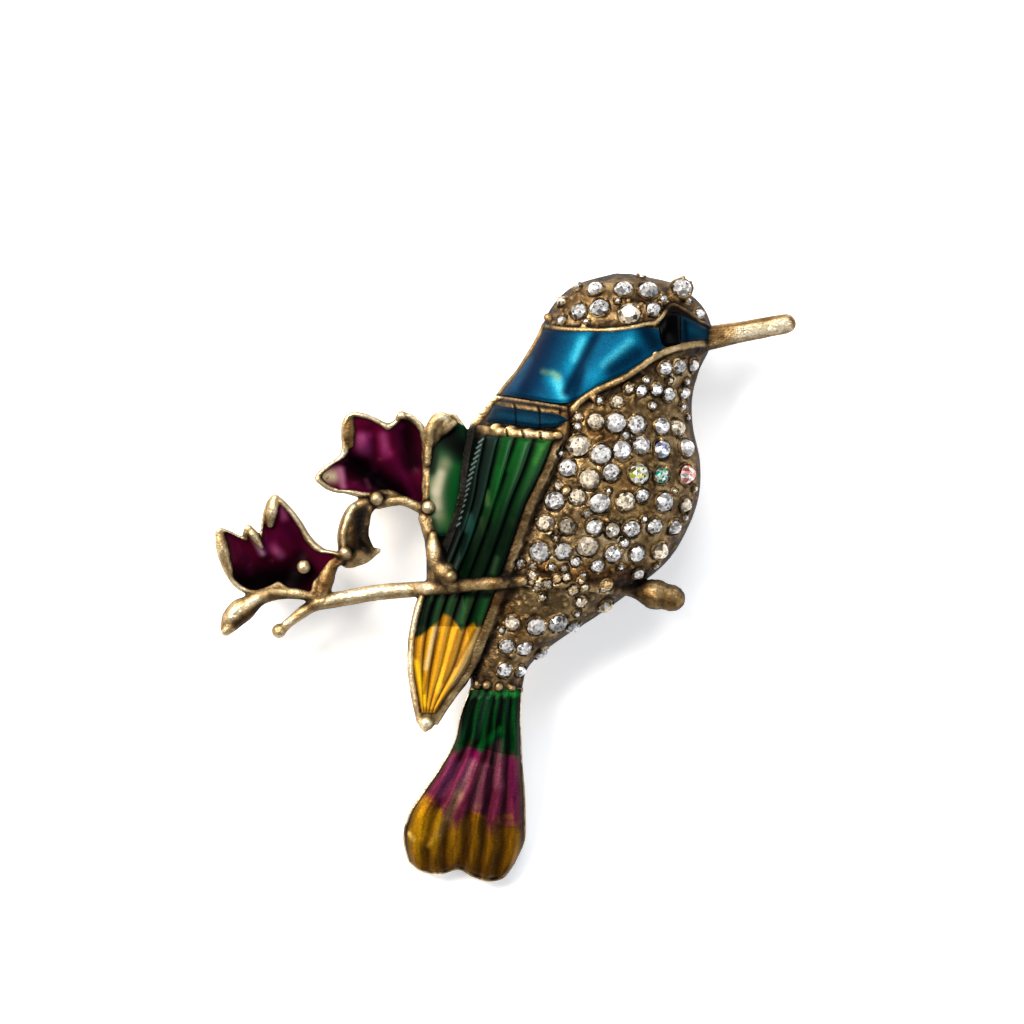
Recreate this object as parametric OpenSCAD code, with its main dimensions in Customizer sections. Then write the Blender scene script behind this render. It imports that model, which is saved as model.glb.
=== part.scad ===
// A perched bird brooch: one gilt casting with raised rims, coloured enamel fills,
// fields of cut rhinestones and a plain pin fitting on the back.
// It lies on its back: the front looks along +Z, the crown points along +Y.
// The floor is at z = 0, and the back face of the casting is back_z above it.

/* [Body] */
// Length of the head and body, from the crown to the vent
body_len = 37.8; // [35:0.2:40]
// Widest part of the body, from back to breast
body_w = 21.6; // [20:0.2:23]
// Height of the breast above the back face
body_rise = 6.6; // [5.6:0.1:7.6]
// Metal left over the hollow back
wall = 1.3; // [1.1:0.05:1.5]
// Left to right place of the body's middle line
body_x = 7; // [6:0.1:8]
// Place of the crown, up from the middle of the brooch
crown_y = 27.6; // [26:0.1:29]

/* [Beak] */
// Length of the beak from the face to the middle of its round tip
beak_len = 6.4; // [5:0.1:8]
// Width of the beak at the face
beak_root_w = 2.2; // [1.8:0.1:2.5]
// Width of the beak's round tip
beak_tip_w = 1.75; // [1.4:0.05:2]
// Thickness of the beak
beak_t = 1.7; // [1.4:0.1:2.2]

/* [Wing] */
// Length of the wing, from the shoulder to its tip
wing_len = 29.8; // [28.4:0.2:31]
// Widest part of the wing
wing_w = 8.3; // [7.8:0.1:8.8]
// How far the wing's tip lies behind its shoulder
wing_sweep = 8.1; // [7.6:0.1:8.6]
// How far the wing stands above the body
wing_step = 0.9; // [0.7:0.05:1.1]
// Height of the wing's free tip above the back face
wing_level = 1.5; // [1.3:0.1:1.8]
// Height of the feather ridges on the wing
feather_h = 0.35; // [0.2:0.05:0.5]
// How far the wing's edges droop below its middle
wing_droop = 0.35; // [0.2:0.05:0.5]

/* [Leaf] */
// Length of the enamelled leaf behind the wing
leaf_len = 13.8; // [13:0.1:14.6]
// Width of that leaf
leaf_w = 3.9; // [3.6:0.1:4.2]
// Height of that leaf's edge above the back face
leaf_level = 1.2; // [1:0.1:1.5]
// How far its middle bulges above its edge
leaf_bulge = 0.6; // [0.4:0.05:0.8]

/* [Tail] */
// Length of the tail
tail_len = 17.8; // [16:0.2:20]
// Widest part of the tail fan
tail_w = 11; // [10:0.1:12]
// Thickness of the tail at its root
tail_root_t = 2.4; // [2:0.1:2.8]
// Thickness of the tail at its tip
tail_tip_t = 1.5; // [1.2:0.1:1.9]
// Height of the ribs on the tail
rib_h = 0.4; // [0.2:0.05:0.55]
// How far the tail's edges droop below its middle
tail_droop = 0.5; // [0.3:0.05:0.7]

/* [Branch and flowers] */
// Length of the branch
branch_len = 33; // [32:0.2:34]
// Thickness of the branch
branch_d = 1.3; // [1.1:0.05:1.5]
// Height of the branch's middle above the back face where it is free
branch_level = 1.3; // [1:0.1:1.6]
// Reach of the upper flower from its middle to its longest petal
upper_flower_r = 6.75; // [6.3:0.05:7.2]
// Reach of the lower flower from its middle to its longest petal
lower_flower_r = 7.3; // [6.9:0.1:7.7]
// Height of a flower's floor above the back face
flower_floor = 1.1; // [0.9:0.05:1.4]
// How far the petal tips rise above the floor
flower_lift = 1.3; // [0.9:0.1:1.7]
// Diameter of the small round beads
bead_d = 1.3; // [1:0.05:1.5]

/* [Rims and enamel] */
// Width of a raised rim
rim_w = 0.7; // [0.5:0.05:0.8]
// Height of a raised rim above the metal
rim_h = 0.55; // [0.45:0.05:0.7]
// Thickness of the enamel
enamel_t = 0.4; // [0.3:0.05:0.45]
// Gap between an enamel fill or a stone and its metal
fit_gap = 0.1; // [0.08:0.01:0.12]

/* [Stones] */
// Diameter of a usual stone
stone_d = 1.7; // [1.6:0.05:1.75]
// Height of a stone's table above its girdle, as a share of its diameter
crown_share = 0.3; // [0.24:0.01:0.36]
// Width of a stone's table, as a share of its diameter
table_share = 0.58; // [0.5:0.01:0.66]
// Depth of the seat that a stone sits in
seat_depth = 0.6; // [0.5:0.05:0.7]
// Height of a stone's girdle above the metal
girdle_lift = 0.1; // [0.05:0.01:0.2]

/* [Pin fitting] */
// Height of the casting's back face above the floor
back_z = 4.2; // [3.8:0.1:5]
// Length of the fitting's flat bar
bar_len = 19.2; // [18.6:0.1:20]
// Width of the bar
bar_w = 3.2; // [2.6:0.1:3.8]
// Thickness of the bar
bar_t = 0.8; // [0.6:0.05:1]
// Diameter of the pin's wire
wire_d = 0.9; // [0.8:0.05:1]
// Thickness of the hinge's and the catch's plates
plate_t = 0.9; // [0.7:0.05:1.1]

/* [Hidden] */

// Colours as the photograph shows them
GOLD = "#b8995a";
BLUE = "#0b6fa8";
DARK_BLUE = "#0a3f66";
BLACK = "#0a0a0c";
GREEN = "#0f6b2c";
TEAL = "#123c33";
YELLOW = "#e0a018";
MAGENTA = "#8a0f5a";
PURPLE = "#7a2f66";
CLEAR = "#e8e8ea";

// Body sections down from the crown.
// Columns: station (share of body_len), left, right (shares of body_w), rise (share of body_rise)
BODY = [
    [0.000, 0.130, 0.200, 0.16],
    [0.020, 0.000, 0.365, 0.42],
    [0.045, -0.075, 0.440, 0.58],
    [0.080, -0.130, 0.505, 0.70],
    [0.130, -0.175, 0.540, 0.80],
    [0.175, -0.215, 0.535, 0.84],
    [0.230, -0.275, 0.490, 0.88],
    [0.295, -0.365, 0.460, 0.91],
    [0.365, -0.440, 0.462, 0.95],
    [0.450, -0.485, 0.492, 0.99],
    [0.535, -0.505, 0.486, 1.00],
    [0.615, -0.510, 0.436, 0.96],
    [0.690, -0.510, 0.352, 0.88],
    [0.760, -0.500, 0.205, 0.76],
    [0.820, -0.485, 0.060, 0.63],
    [0.880, -0.475, -0.105, 0.52],
    [0.940, -0.470, -0.225, 0.43],
    [1.000, -0.470, -0.255, 0.37]
];

// Wing sections down from the shoulder.
// Columns: station (share of wing_len), left, right (shares of wing_w)
WING = [
    [0.00, -0.22, 0.56],
    [0.04, -0.325, 0.59],
    [0.08, -0.405, 0.61],
    [0.20, -0.39, 0.575],
    [0.30, -0.335, 0.50],
    [0.40, -0.35, 0.475],
    [0.50, -0.40, 0.45],
    [0.60, -0.475, 0.42],
    [0.70, -0.465, 0.39],
    [0.80, -0.39, 0.345],
    [0.90, -0.245, 0.19],
    [0.96, -0.14, 0.11],
    [1.00, -0.06, 0.05]
];
// Grooves between the feathers, from -1 at the left rim to 1 at the right one
FEATHERS = [-1, -0.70, -0.36, 0.03, 0.51, 1];
// Where each feather is highest, between its own two grooves
FEATHER_PEAK = 0.7;
// How far the shoulder line runs down to the right, as a share of wing_len
SHOULDER_SLANT = 0.018;

// Leaf sections down from its top.
// Columns: station (share of leaf_len), left, right (shares of leaf_w)
LEAF = [
    [0.00, -0.12, 0.24],
    [0.09, -0.36, 0.45],
    [0.19, -0.45, 0.52],
    [0.32, -0.50, 0.48],
    [0.45, -0.51, 0.41],
    [0.60, -0.50, 0.29],
    [0.74, -0.44, 0.18],
    [0.87, -0.37, 0.02],
    [1.00, -0.30, -0.10]
];

// Tail sections down from its root.
// Columns: station (share of tail_len), left, right (shares of tail_w), drop (share of back_z)
TAIL = [
    [0.00, -0.213, 0.213, 0.00],
    [0.14, -0.295, 0.205, 0.05],
    [0.28, -0.345, 0.210, 0.15],
    [0.42, -0.460, 0.220, 0.30],
    [0.56, -0.600, 0.238, 0.46],
    [0.70, -0.725, 0.245, 0.63],
    [0.85, -0.770, 0.238, 0.82],
    [1.00, -0.730, 0.155, 1.00]
];
// How far down the tail's lobes reach. Columns: place across (-1 to 1), reach (share of tail_len)
TAIL_LOBES = [
    [-1.00, 0.90], [-0.75, 0.95], [-0.40, 0.965], [-0.05, 0.94],
    [0.20, 0.975], [0.50, 1.00], [0.80, 0.98], [1.00, 0.91]
];
// Grooves between the tail's ribs, from -1 at its left border to 1 at its right one
RIBS = [for (k = [-3:3]) k / 3];
RIB_PEAK = 0.5;

// Branch from its left end. Columns: along, rise (shares of branch_len), thickness (share of branch_d)
BRANCH = [
    [0.000, -0.051, 1.05],
    [0.073, -0.038, 1.12],
    [0.167, -0.022, 1.12],
    [0.261, -0.015, 1.10],
    [0.356, -0.008, 1.05],
    [0.437, 0.001, 1.00],
    [0.518, 0.008, 0.95],
    [0.590, 0.010, 0.90],
    [0.700, 0.001, 0.85],
    [0.800, -0.013, 0.80],
    [0.868, -0.018, 1.10],
    [0.915, -0.026, 2.10],
    [0.955, -0.035, 1.75],
    [1.000, -0.050, 0.60]
];
// Where the branch crosses the body: its own share, and the body's shares
BRANCH_CROSSING = 0.552;
BRANCH_ON_BODY = [-0.2625, 0.743];
// Where it dips under the belly. Columns: along, sink (share of branch_d)
BRANCH_SINK = [[0.00, 0], [0.56, 0], [0.66, 0.25], [0.80, 0.25], [0.90, 0], [1.00, 0]];

// Flower outlines. Columns: angle, reach (share of the flower's reach), lift (share of flower_lift)
UPPER_FLOWER = [
    [-51, 0.81, 0.0], [-35, 0.64, 0.1], [4, 0.545, 0.3], [34, 0.625, 0.5], [47, 0.69, 0.7],
    [60, 0.71, 0.9], [70, 0.70, 0.9], [79, 0.59, 0.6], [90, 0.525, 0.4], [104, 0.61, 0.6],
    [117, 0.74, 0.9], [128, 0.84, 1.0], [140, 0.805, 0.9], [151, 0.715, 0.6], [163, 0.645, 0.5],
    [174, 0.675, 0.5], [184, 0.855, 0.7], [192, 1.00, 0.9], [200, 0.94, 0.8], [208, 0.84, 0.6],
    [217, 0.70, 0.5], [235, 0.58, 0.3], [252, 0.48, 0.3], [273, 0.455, 0.2], [292, 0.545, 0.1],
    [301, 0.70, 0.0], [309, 0.81, 0.0]
];
LOWER_FLOWER = [
    [-29, 0.57, 0.0], [-10, 0.56, 0.1], [3, 0.72, 0.2], [11, 0.88, 0.4], [17, 0.83, 0.4],
    [26, 0.66, 0.3], [47, 0.615, 0.4], [66, 0.72, 0.6], [79, 0.84, 0.8], [91, 0.955, 1.0],
    [98, 0.87, 0.8], [106, 0.665, 0.6], [113, 0.53, 0.4], [120, 0.62, 0.7], [128, 0.66, 0.9],
    [134, 0.62, 0.6], [142, 0.90, 1.0], [150, 0.865, 0.9], [162, 0.77, 0.8], [176, 0.66, 0.6],
    [194, 0.57, 0.4], [214, 0.46, 0.3], [236, 0.29, 0.1], [270, 0.20, 0.0], [300, 0.24, 0.0],
    [331, 0.57, 0.0]
];
// A flower's middle, from its root, in shares of its reach
UPPER_MIDDLE = [-0.49, 0.74];
LOWER_MIDDLE = [-0.65, 0.35];

// Stone rows. Columns: station (share of body_len), first, last (shares of body_w), count,
// diameter (share of stone_d)
CROWN_ROWS = [
    [0.038, 0.05, 0.29, 3, 1.06],
    [0.036, 0.395, 0.395, 1, 0.90],
    [0.096, -0.035, 0.18, 3, 1.15],
    [0.078, -0.092, -0.092, 1, 0.68],
    [0.094, 0.275, 0.275, 1, 0.74],
    [0.112, 0.485, 0.485, 1, 0.76]
];
BREAST_ROWS = [
    [0.221, 0.335, 0.458, 3, 0.74],
    [0.288, 0.225, 0.425, 4, 0.79],
    [0.312, 0.132, 0.132, 1, 0.82],
    [0.358, 0.042, 0.405, 5, 1.00],
    [0.418, -0.018, 0.430, 6, 1.01],
    [0.480, -0.068, 0.435, 6, 1.09],
    [0.543, -0.120, 0.430, 7, 0.98],
    [0.606, -0.155, 0.388, 7, 0.98],
    [0.666, -0.195, 0.320, 6, 1.03],
    [0.706, 0.050, 0.225, 2, 0.71],
    [0.742, -0.165, 0.075, 5, 0.59]
];
VENT_ROWS = [
    [0.790, -0.010, 0.100, 2, 0.74],
    [0.835, -0.300, -0.020, 4, 0.94],
    [0.892, -0.325, -0.150, 3, 0.91],
    [0.945, -0.345, -0.245, 2, 0.85]
];
STONE_SIDES = 8;

// Rim lines on the body, from end to end. Columns: across (share of body_w), down (share of body_len)
CROWN_RIM = [
    [-0.175, 0.127], [-0.110, 0.134], [-0.033, 0.138], [0.092, 0.140], [0.175, 0.136],
    [0.245, 0.128], [0.300, 0.122]
];
BROW_RIM = [[0.290, 0.128], [0.329, 0.106], [0.368, 0.080], [0.421, 0.092], [0.490, 0.118], [0.555, 0.142]];
THROAT_RIM = [
    [0.560, 0.166], [0.446, 0.173], [0.342, 0.190], [0.275, 0.212], [0.175, 0.252],
    [0.071, 0.279], [-0.012, 0.309], [-0.065, 0.345]
];

// The blue nape between its upper and lower edges.
// Columns: along, upper edge across and down, lower edge across and down (shares of the body)
NAPE = [
    [0.00, -0.175, 0.128, -0.358, 0.294],
    [0.20, -0.071, 0.135, -0.233, 0.306],
    [0.40, 0.029, 0.139, -0.104, 0.318],
    [0.55, 0.096, 0.140, -0.029, 0.308],
    [0.70, 0.162, 0.137, 0.068, 0.272],
    [0.85, 0.238, 0.129, 0.178, 0.242],
    [1.00, 0.321, 0.137, 0.338, 0.186]
];
// The eye and the blue point in front of it, in the same columns
EYE_CELL = [
    [0.00, 0.310, 0.128, 0.318, 0.176],
    [0.25, 0.354, 0.093, 0.360, 0.186],
    [0.50, 0.421, 0.097, 0.425, 0.178],
    [1.00, 0.575, 0.145, 0.575, 0.162]
];
EYE_END = 0.44;

// Shares of the wing's length where the middles of its two cross bars lie, and half a lower bar's width
UPPER_BAR = 0.024;
LOWER_BAR = 0.098;
BAR_SIDE = 0.7 * rim_w / wing_len;
// Gap between a cross bar and a fill, and the fills' spans
BAR_GAP = 2 * fit_gap / wing_len;
FEATHER_TOP = LOWER_BAR + BAR_SIDE + BAR_GAP;
COLLAR_SPAN = [UPPER_BAR + rim_w / 2 / wing_len + BAR_GAP, LOWER_BAR - BAR_SIDE - BAR_GAP];
TEAL_SPAN = [FEATHER_TOP, 0.42];
// Where the lower fills meet, as a share of the wing's length below the branch
YELLOW_BELOW = 0.127;
YELLOW_END = 0.93;
// The groove where the green fill meets the teal one
TEAL_EDGE = -0.36;
// Shares of the tail's length where its fills begin and end, and how much lower
// each of these lines lies at the tail's right edge than at its middle
TAIL_SPANS = [
    [0.04, 0.31, 0.00, 0.03],
    [0.318, 0.655, 0.03, 0.07],
    [0.663, 0.96, 0.07, 0.00]
];
// How deep the rims and the stones' seats bite into the metal under them
BITE = 0.5;

// Value between a and b
function mix(a, b, t) = a + (b - a) * t;
// The larger of two heights, with a soft turn between them
function soft_max(a, b, soft = 0.6) = (a + b + sqrt((a - b) * (a - b) + soft * soft)) / 2;
// Row of a table whose first column rises, for the span that holds s
function row_of(table, s, i = 0) =
    (i >= len(table) - 2 || s < table[i + 1][0]) ? i : row_of(table, s, i + 1);
// Slope of column c at row i
function slope(table, i, c) =
    let (a = table[max(i - 1, 0)], b = table[min(i + 1, len(table) - 1)])
    (b[c] - a[c]) / (b[0] - a[0]);
// Smooth value of column c at s
function at(table, s, c) =
    let (i = row_of(table, s), a = table[i], b = table[i + 1])
    let (h = b[0] - a[0], t = min(max((s - a[0]) / h, 0), 1))
    let (m = slope(table, i, c) * h, n = slope(table, i + 1, c) * h)
    (2 * t * t * t - 3 * t * t + 1) * a[c] + (t * t * t - 2 * t * t + t) * m
    + (3 * t * t - 2 * t * t * t) * b[c] + (t * t * t - t * t) * n;
// Evenly spread numbers from a to b in n steps
function steps(a, b, n) = [for (i = [0:n]) mix(a, b, i / n)];

// Point of the body's face from its shares
function on_body(across, down) = [body_x + across * body_w, crown_y - down * body_len];
// Left or right edge of the body at height y
function body_edge(y, c) = body_x + body_w * at(BODY, (crown_y - y) / body_len, c);
// Dome of a body section from -1 at its left edge to 1 at its right
function dome(v) = pow(max(1 - v * v, 0), 0.5);
// Height of the body's surface over the back face
function body_height(x, y) =
    let (s = (crown_y - y) / body_len)
    (s < 0 || s > 1) ? 0 :
    let (a = body_edge(y, 1), b = body_edge(y, 2))
    body_rise * at(BODY, s, 3) * dome((2 * x - a - b) / (b - a));

// Sawtooth of feathers or ribs between a list of grooves: 0 in each groove and 1 on each ridge
function ridge(v, grooves, peak, i = 0) =
    (i > len(grooves) - 2 || v < grooves[0]) ? 0 :
    v > grooves[i + 1] ? ridge(v, grooves, peak, i + 1) :
    let (t = (v - grooves[i]) / (grooves[i + 1] - grooves[i]))
    t < peak ? t / peak : (1 - t) / (1 - peak);
// Places across where the ridges turn, with the two edges outside them as -2 and 2
function ridge_places(grooves, peak) = concat(
    [-2, grooves[0]],
    [for (k = [0:len(grooves) - 2]) each [mix(grooves[k], grooves[k + 1], peak), grooves[k + 1]]],
    [2]
);
// Share of a half width that a place stands for, with a border beside its two edges
function place(q, half, border) = abs(q) > 1 ? sign(q) : q * max(0.3, 1 - border / half);

// Wing: point of its face at a station down it and a place across it
SHOULDER = on_body(-0.283, 0.307);
function wing_half(s) = wing_w * (at(WING, s, 2) - at(WING, s, 1)) / 2;
function wing_xy(s, v) =
    let (a = at(WING, s, 1), b = at(WING, s, 2))
    [SHOULDER[0] - wing_sweep * s + wing_w * mix(a, b, (v + 1) / 2),
        SHOULDER[1] - wing_len * (s + SHOULDER_SLANT * v * pow(1 - s, 3))];
function wing_base(x, y) = soft_max(body_height(x, y), wing_level) + wing_step;
function wing_point(s, q, lift = 0) =
    let (v = place(q, wing_half(s), rim_w), p = wing_xy(s, v))
    let (taper = min(1, (1 - s) * 4) * min(1, max(0, s - 0.07) / 0.07))
    [p[0], p[1], wing_base(p[0], p[1]) - wing_droop * pow(abs(v), 4)
        + feather_h * taper * ridge(q, FEATHERS, FEATHER_PEAK) + lift];
// The middle of the rim along the wing's left or right edge
function wing_rim(s, side) =
    let (p = wing_xy(s, side * (1 - rim_w / 2 / wing_half(s))))
    [p[0], p[1], wing_base(p[0], p[1]) - 0.85 * wing_droop];

// Leaf: point of its face. Its right edge runs under the wing
LEAF_TUCK = 0.13 * leaf_w;
LEAF_TOP = SHOULDER + [-0.75 * wing_w, -0.037 * wing_len];
function leaf_half(s) = leaf_w * (at(LEAF, s, 2) - at(LEAF, s, 1)) / 2;
function leaf_point(s, v, lift = 0) =
    let (a = at(LEAF, s, 1), b = at(LEAF, s, 2))
    [LEAF_TOP[0] + leaf_w * mix(a, b, (v + 1) / 2), LEAF_TOP[1] - leaf_len * s,
        leaf_level + leaf_bulge * (1 - v * v) * sin(180 * min(max(s, 0.05), 0.95)) + lift];

// Tail: point of its face, and of its underside
TAIL_ROOT = on_body(-0.3625, 0.990);
function tail_xy(s, v) =
    let (a = at(TAIL, s, 1), b = at(TAIL, s, 2))
    [TAIL_ROOT[0] + tail_w * mix(a, b, (v + 1) / 2),
        TAIL_ROOT[1] - tail_len * s * mix(1, at(TAIL_LOBES, v, 1), s)];
function tail_under(s) = -back_z * at(TAIL, s, 3);
function tail_point(s, q, lift = 0) =
    let (half = tail_w * (at(TAIL, s, 2) - at(TAIL, s, 1)) / 2, v = place(q, half, rim_w * 0.7))
    let (p = tail_xy(s, v))
    [p[0], p[1], tail_under(s) + mix(tail_root_t, tail_tip_t, s) - tail_droop * pow(abs(v), 3)
        + rib_h * min(1, s * 4) * (ridge(q, RIBS, RIB_PEAK) - 0.5) + lift];

// Branch: middle of its wire at a share along it
BRANCH_AT = on_body(BRANCH_ON_BODY[0], BRANCH_ON_BODY[1]);
function branch_xy(s) = [
    BRANCH_AT[0] + (s - BRANCH_CROSSING) * branch_len, BRANCH_AT[1] + branch_len * at(BRANCH, s, 1)
];
function branch_point(s) =
    let (p = branch_xy(s), w = (SHOULDER[1] - p[1]) / wing_len)
    let (on_wing = p[0] > wing_xy(w, -1)[0] && p[0] < wing_xy(w, 1)[0])
    let (under = on_wing ? wing_base(p[0], p[1]) + feather_h : body_height(p[0], p[1]) + 0.1)
    [p[0], p[1], max(branch_level, under - branch_d * at(BRANCH_SINK, s, 1))];

// Shares of the wing's length where the branch crosses it, and where its green and yellow fills lie
WING_CROSSING = (SHOULDER[1] - BRANCH_AT[1]) / wing_len;
BRANCH_SIDE = (branch_d + fit_gap) / wing_len;
MEETING = fit_gap * 1.2 / wing_len;
GREEN_SPANS = [
    [FEATHER_TOP, WING_CROSSING - BRANCH_SIDE],
    [WING_CROSSING + BRANCH_SIDE, WING_CROSSING + YELLOW_BELOW - MEETING]
];
YELLOW_SPAN = [WING_CROSSING + YELLOW_BELOW + MEETING, YELLOW_END];

// Flowers: their roots, middles and outlines
UPPER_ROOT = [leaf_point(0.68, -1)[0] - 0.1, leaf_point(0.68, -1)[1]];
LOWER_ROOT = branch_xy(0.03);
function flower_middle(root, middle, reach) = root + reach * middle;
UPPER_AT = flower_middle(UPPER_ROOT, UPPER_MIDDLE, upper_flower_r);
LOWER_AT = flower_middle(LOWER_ROOT, LOWER_MIDDLE, lower_flower_r);
// Where a small bead stands in the lower flower
FLOWER_BEAD = LOWER_AT + lower_flower_r * [0.34, 0.07];
// Angles of an outline's rows, without the last, which closes it
function flower_angles(outline) = [for (i = [0:len(outline) - 2]) outline[i][0]];
// Point of a flower at an angle, inset mm inside its outline or at a share of its reach
function flower_point(middle, outline, reach, angle, inset, share, lift) =
    let (r = max(at(outline, angle, 1) * reach - inset, 0.3) * share)
    let (full = at(outline, angle, 1) * reach)
    [middle[0] + r * cos(angle), middle[1] + r * sin(angle),
        flower_floor + flower_lift * at(outline, angle, 2) * pow(r / full, 2) + lift];

// Closed solid through rings of points, all with the same number of points.
// Rings of thin fills are closed by strips from their face points to their under points
module loft(rings, thin = false) {
    n = len(rings);
    k = len(rings[0]);
    points = [for (ring = rings) each ring];
    sides = [for (i = [0:n - 2], j = [0:k - 1]) each let (m = (j + 1) % k) [
        [i * k + j, i * k + m, (i + 1) * k + m],
        [i * k + j, (i + 1) * k + m, (i + 1) * k + j]
    ]];
    strip = [for (j = [0:k / 2 - 2]) each [[j, k - 2 - j, j + 1], [j, k - 1 - j, k - 2 - j]]];
    first = thin ? strip : [[for (j = [k - 1:-1:0]) j]];
    last = thin ? [for (f = strip) [for (c = [2:-1:0]) (n - 1) * k + f[c]]]
        : [[for (j = [0:k - 1]) (n - 1) * k + j]];
    polyhedron(points = points, faces = concat(sides, first, last), convexity = 6);
}

// Ring of a closed section: its face points from left to right, then its under points back
function section(face, under) = concat(face, [for (i = [len(under) - 1:-1:0]) under[i]]);

// Bar with a rounded top along a line of points on a surface, bitten into the metal
module bar(path, width, height, bite = BITE) {
    loft([for (i = [0:len(path) - 1])
        let (a = path[max(i - 1, 0)], b = path[min(i + 1, len(path) - 1)], p = path[i])
        let (d = [b[0] - a[0], b[1] - a[1]], n = [-d[1], d[0]] / norm(d) * width / 2)
        let (foot = max(p[2] - bite, 0.05))
        [
            [p[0] - n[0], p[1] - n[1], foot],
            [p[0] - n[0], p[1] - n[1], p[2] + height * 0.5],
            [p[0], p[1], p[2] + height],
            [p[0] + n[0], p[1] + n[1], p[2] + height * 0.5],
            [p[0] + n[0], p[1] + n[1], foot]
        ]]);
}

// Round limb through rows of a point and a diameter
module limb(rows, sides = 6) {
    loft([for (i = [0:len(rows) - 1])
        let (a = rows[max(i - 1, 0)][0], b = rows[min(i + 1, len(rows) - 1)][0])
        let (d = [b[0] - a[0], b[1] - a[1]], n = [-d[1], d[0]] / norm(d), p = rows[i][0])
        [for (j = [0:sides - 1]) let (c = 360 * j / sides, r = rows[i][1] / 2)
            [p[0] - n[0] * r * cos(c), p[1] - n[1] * r * cos(c), p[2] + r * sin(c)]]]);
}

// Rows of a limb between two points, bowed sideways.
// Columns of its table: along, sideways (shares of the distance), height, diameter (shares of branch_d)
function bowed(from, to, table, count) =
    let (d = to - from, n = [-d[1], d[0]])
    [for (t = steps(0, 1, count)) let (p = from + d * t + n * at(table, t, 1))
        [[p[0], p[1], branch_d * at(table, t, 2)], branch_d * at(table, t, 3)]];

// Small round bead at a point, its height given as a share of branch_d
module bead(p, height) {
    hull() {
        translate([p[0], p[1], branch_d * height]) sphere(d = bead_d, $fn = 8);
        translate([p[0], p[1], branch_d * 0.4]) cylinder(d = bead_d * 0.8, h = bead_d * 0.3, $fn = 8);
    }
}

// The body's dome as a closed solid, shrunk by inset and pushed down for the hollow
module body_dome(inset = 0, down = 0, count = 26, across = 16) {
    stations = [for (i = [0:count]) mix(inset / body_len, 1 - inset / body_len, pow(i / count, 1.35))];
    loft([for (s = stations)
        let (y = crown_y - s * body_len, a = body_edge(y, 1) + inset, b = body_edge(y, 2) - inset)
        let (rise = max(body_rise * at(BODY, s, 3) - inset, 0.15))
        section(
            [for (j = [0:across]) let (c = 180 * j / across)
                [mix(a, b, (1 - cos(c)) / 2), y, rise * sin(c)]],
            [for (x = [a, b]) [x, y, -down]]
        )]);
}

// The hollow under the body, which stops short of the crown and of the vent
module body_hollow() {
    intersection() {
        body_dome(inset = wall, down = 1, count = 12, across = 8);
        translate([body_x - body_w, crown_y - body_len * 0.93, -2])
            cube([2 * body_w, body_len * 0.87, body_rise + 2]);
    }
}

// The wing, solid down to the back face
module wing_base_metal() {
    places = ridge_places(FEATHERS, FEATHER_PEAK);
    loft([for (s = steps(0, 1, 14))
        section(
            [for (v = places) wing_point(s, v)],
            [for (v = [-1, 1]) let (p = wing_xy(s, v)) [p[0], p[1], 0.4]]
        )]);
}

// The leaf's metal
module leaf_metal() {
    loft([for (s = steps(0, 1, 10))
        section(
            [for (v = steps(-1, 1, 4)) leaf_point(s, v)],
            [for (v = [-1, 1]) let (p = leaf_point(s, v)) [p[0], p[1], 0.1]]
        )]);
}

// The tail's ribbed fan
module tail_metal() {
    places = ridge_places(RIBS, RIB_PEAK);
    loft([for (s = steps(0, 1, 11))
        section(
            [for (v = places) tail_point(s, v)],
            [for (v = steps(-1, 1, 5)) let (p = tail_xy(s, v)) [p[0], p[1], tail_under(s)]]
        )]);
}

// The beak, a tapered bar with a flat top and a round tip
module beak() {
    root = on_body(0.5, 0.158);
    turn = 10.5;
    level = 0.5;
    translate([root[0], root[1], level]) rotate(turn) {
        face = body_w * 0.06;
        hull() {
            cylinder(d = beak_root_w, h = beak_t, $fn = 16);
            translate([face + beak_len * 0.35, 0, 0])
                cylinder(d = beak_root_w * 0.85, h = beak_t, $fn = 16);
        }
        hull() {
            translate([face + beak_len * 0.35, 0, 0])
                cylinder(d = beak_root_w * 0.85, h = beak_t, $fn = 16);
            translate([face + beak_len, 0, 0]) cylinder(d = beak_tip_w, h = beak_t * 0.9, $fn = 16);
        }
    }
}

// A flower's metal: a floor with a raised rim round it
module flower_metal(middle, outline, reach) {
    angles = flower_angles(outline);
    // Columns: inset in mm, share of the reach, height over the floor
    profile = [
        [0, 0.35, 0], [rim_w, 1, 0], [rim_w * 0.8, 1, rim_h], [rim_w * 0.2, 1, rim_h], [0, 1, 0]
    ];
    loft(concat(
        [for (row = profile) [for (a = angles)
            flower_point(middle, outline, reach, a, row[0], row[1], row[2])]],
        [[for (a = angles) let (p = flower_point(middle, outline, reach, a, 0, 1, 0)) [p[0], p[1], 0.1]]]
    ));
}

// A flower's enamel, inside its rim
module flower_enamel(middle, outline, reach) {
    angles = flower_angles(outline);
    edge = rim_w + fit_gap;
    // Columns: inset in mm, share of the reach, height over the floor
    profile = [[0, 0.35, enamel_t], [edge, 1, enamel_t], [edge, 1, fit_gap], [0, 0.35, fit_gap]];
    loft([for (row = profile) [for (a = angles)
        flower_point(middle, outline, reach, a, row[0], row[1], row[2])]]);
}

// Turns children so that their +Z stands on the body's surface at a point
module on_surface(p) {
    e = 0.05;
    dx = (body_height(p[0] + e, p[1]) - body_height(p[0] - e, p[1])) / (2 * e);
    dy = (body_height(p[0], p[1] + e) - body_height(p[0], p[1] - e)) / (2 * e);
    translate([p[0], p[1], body_height(p[0], p[1])])
        rotate([0, acos(1 / sqrt(1 + dx * dx + dy * dy)), atan2(-dy, -dx)])
            children();
}

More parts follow.
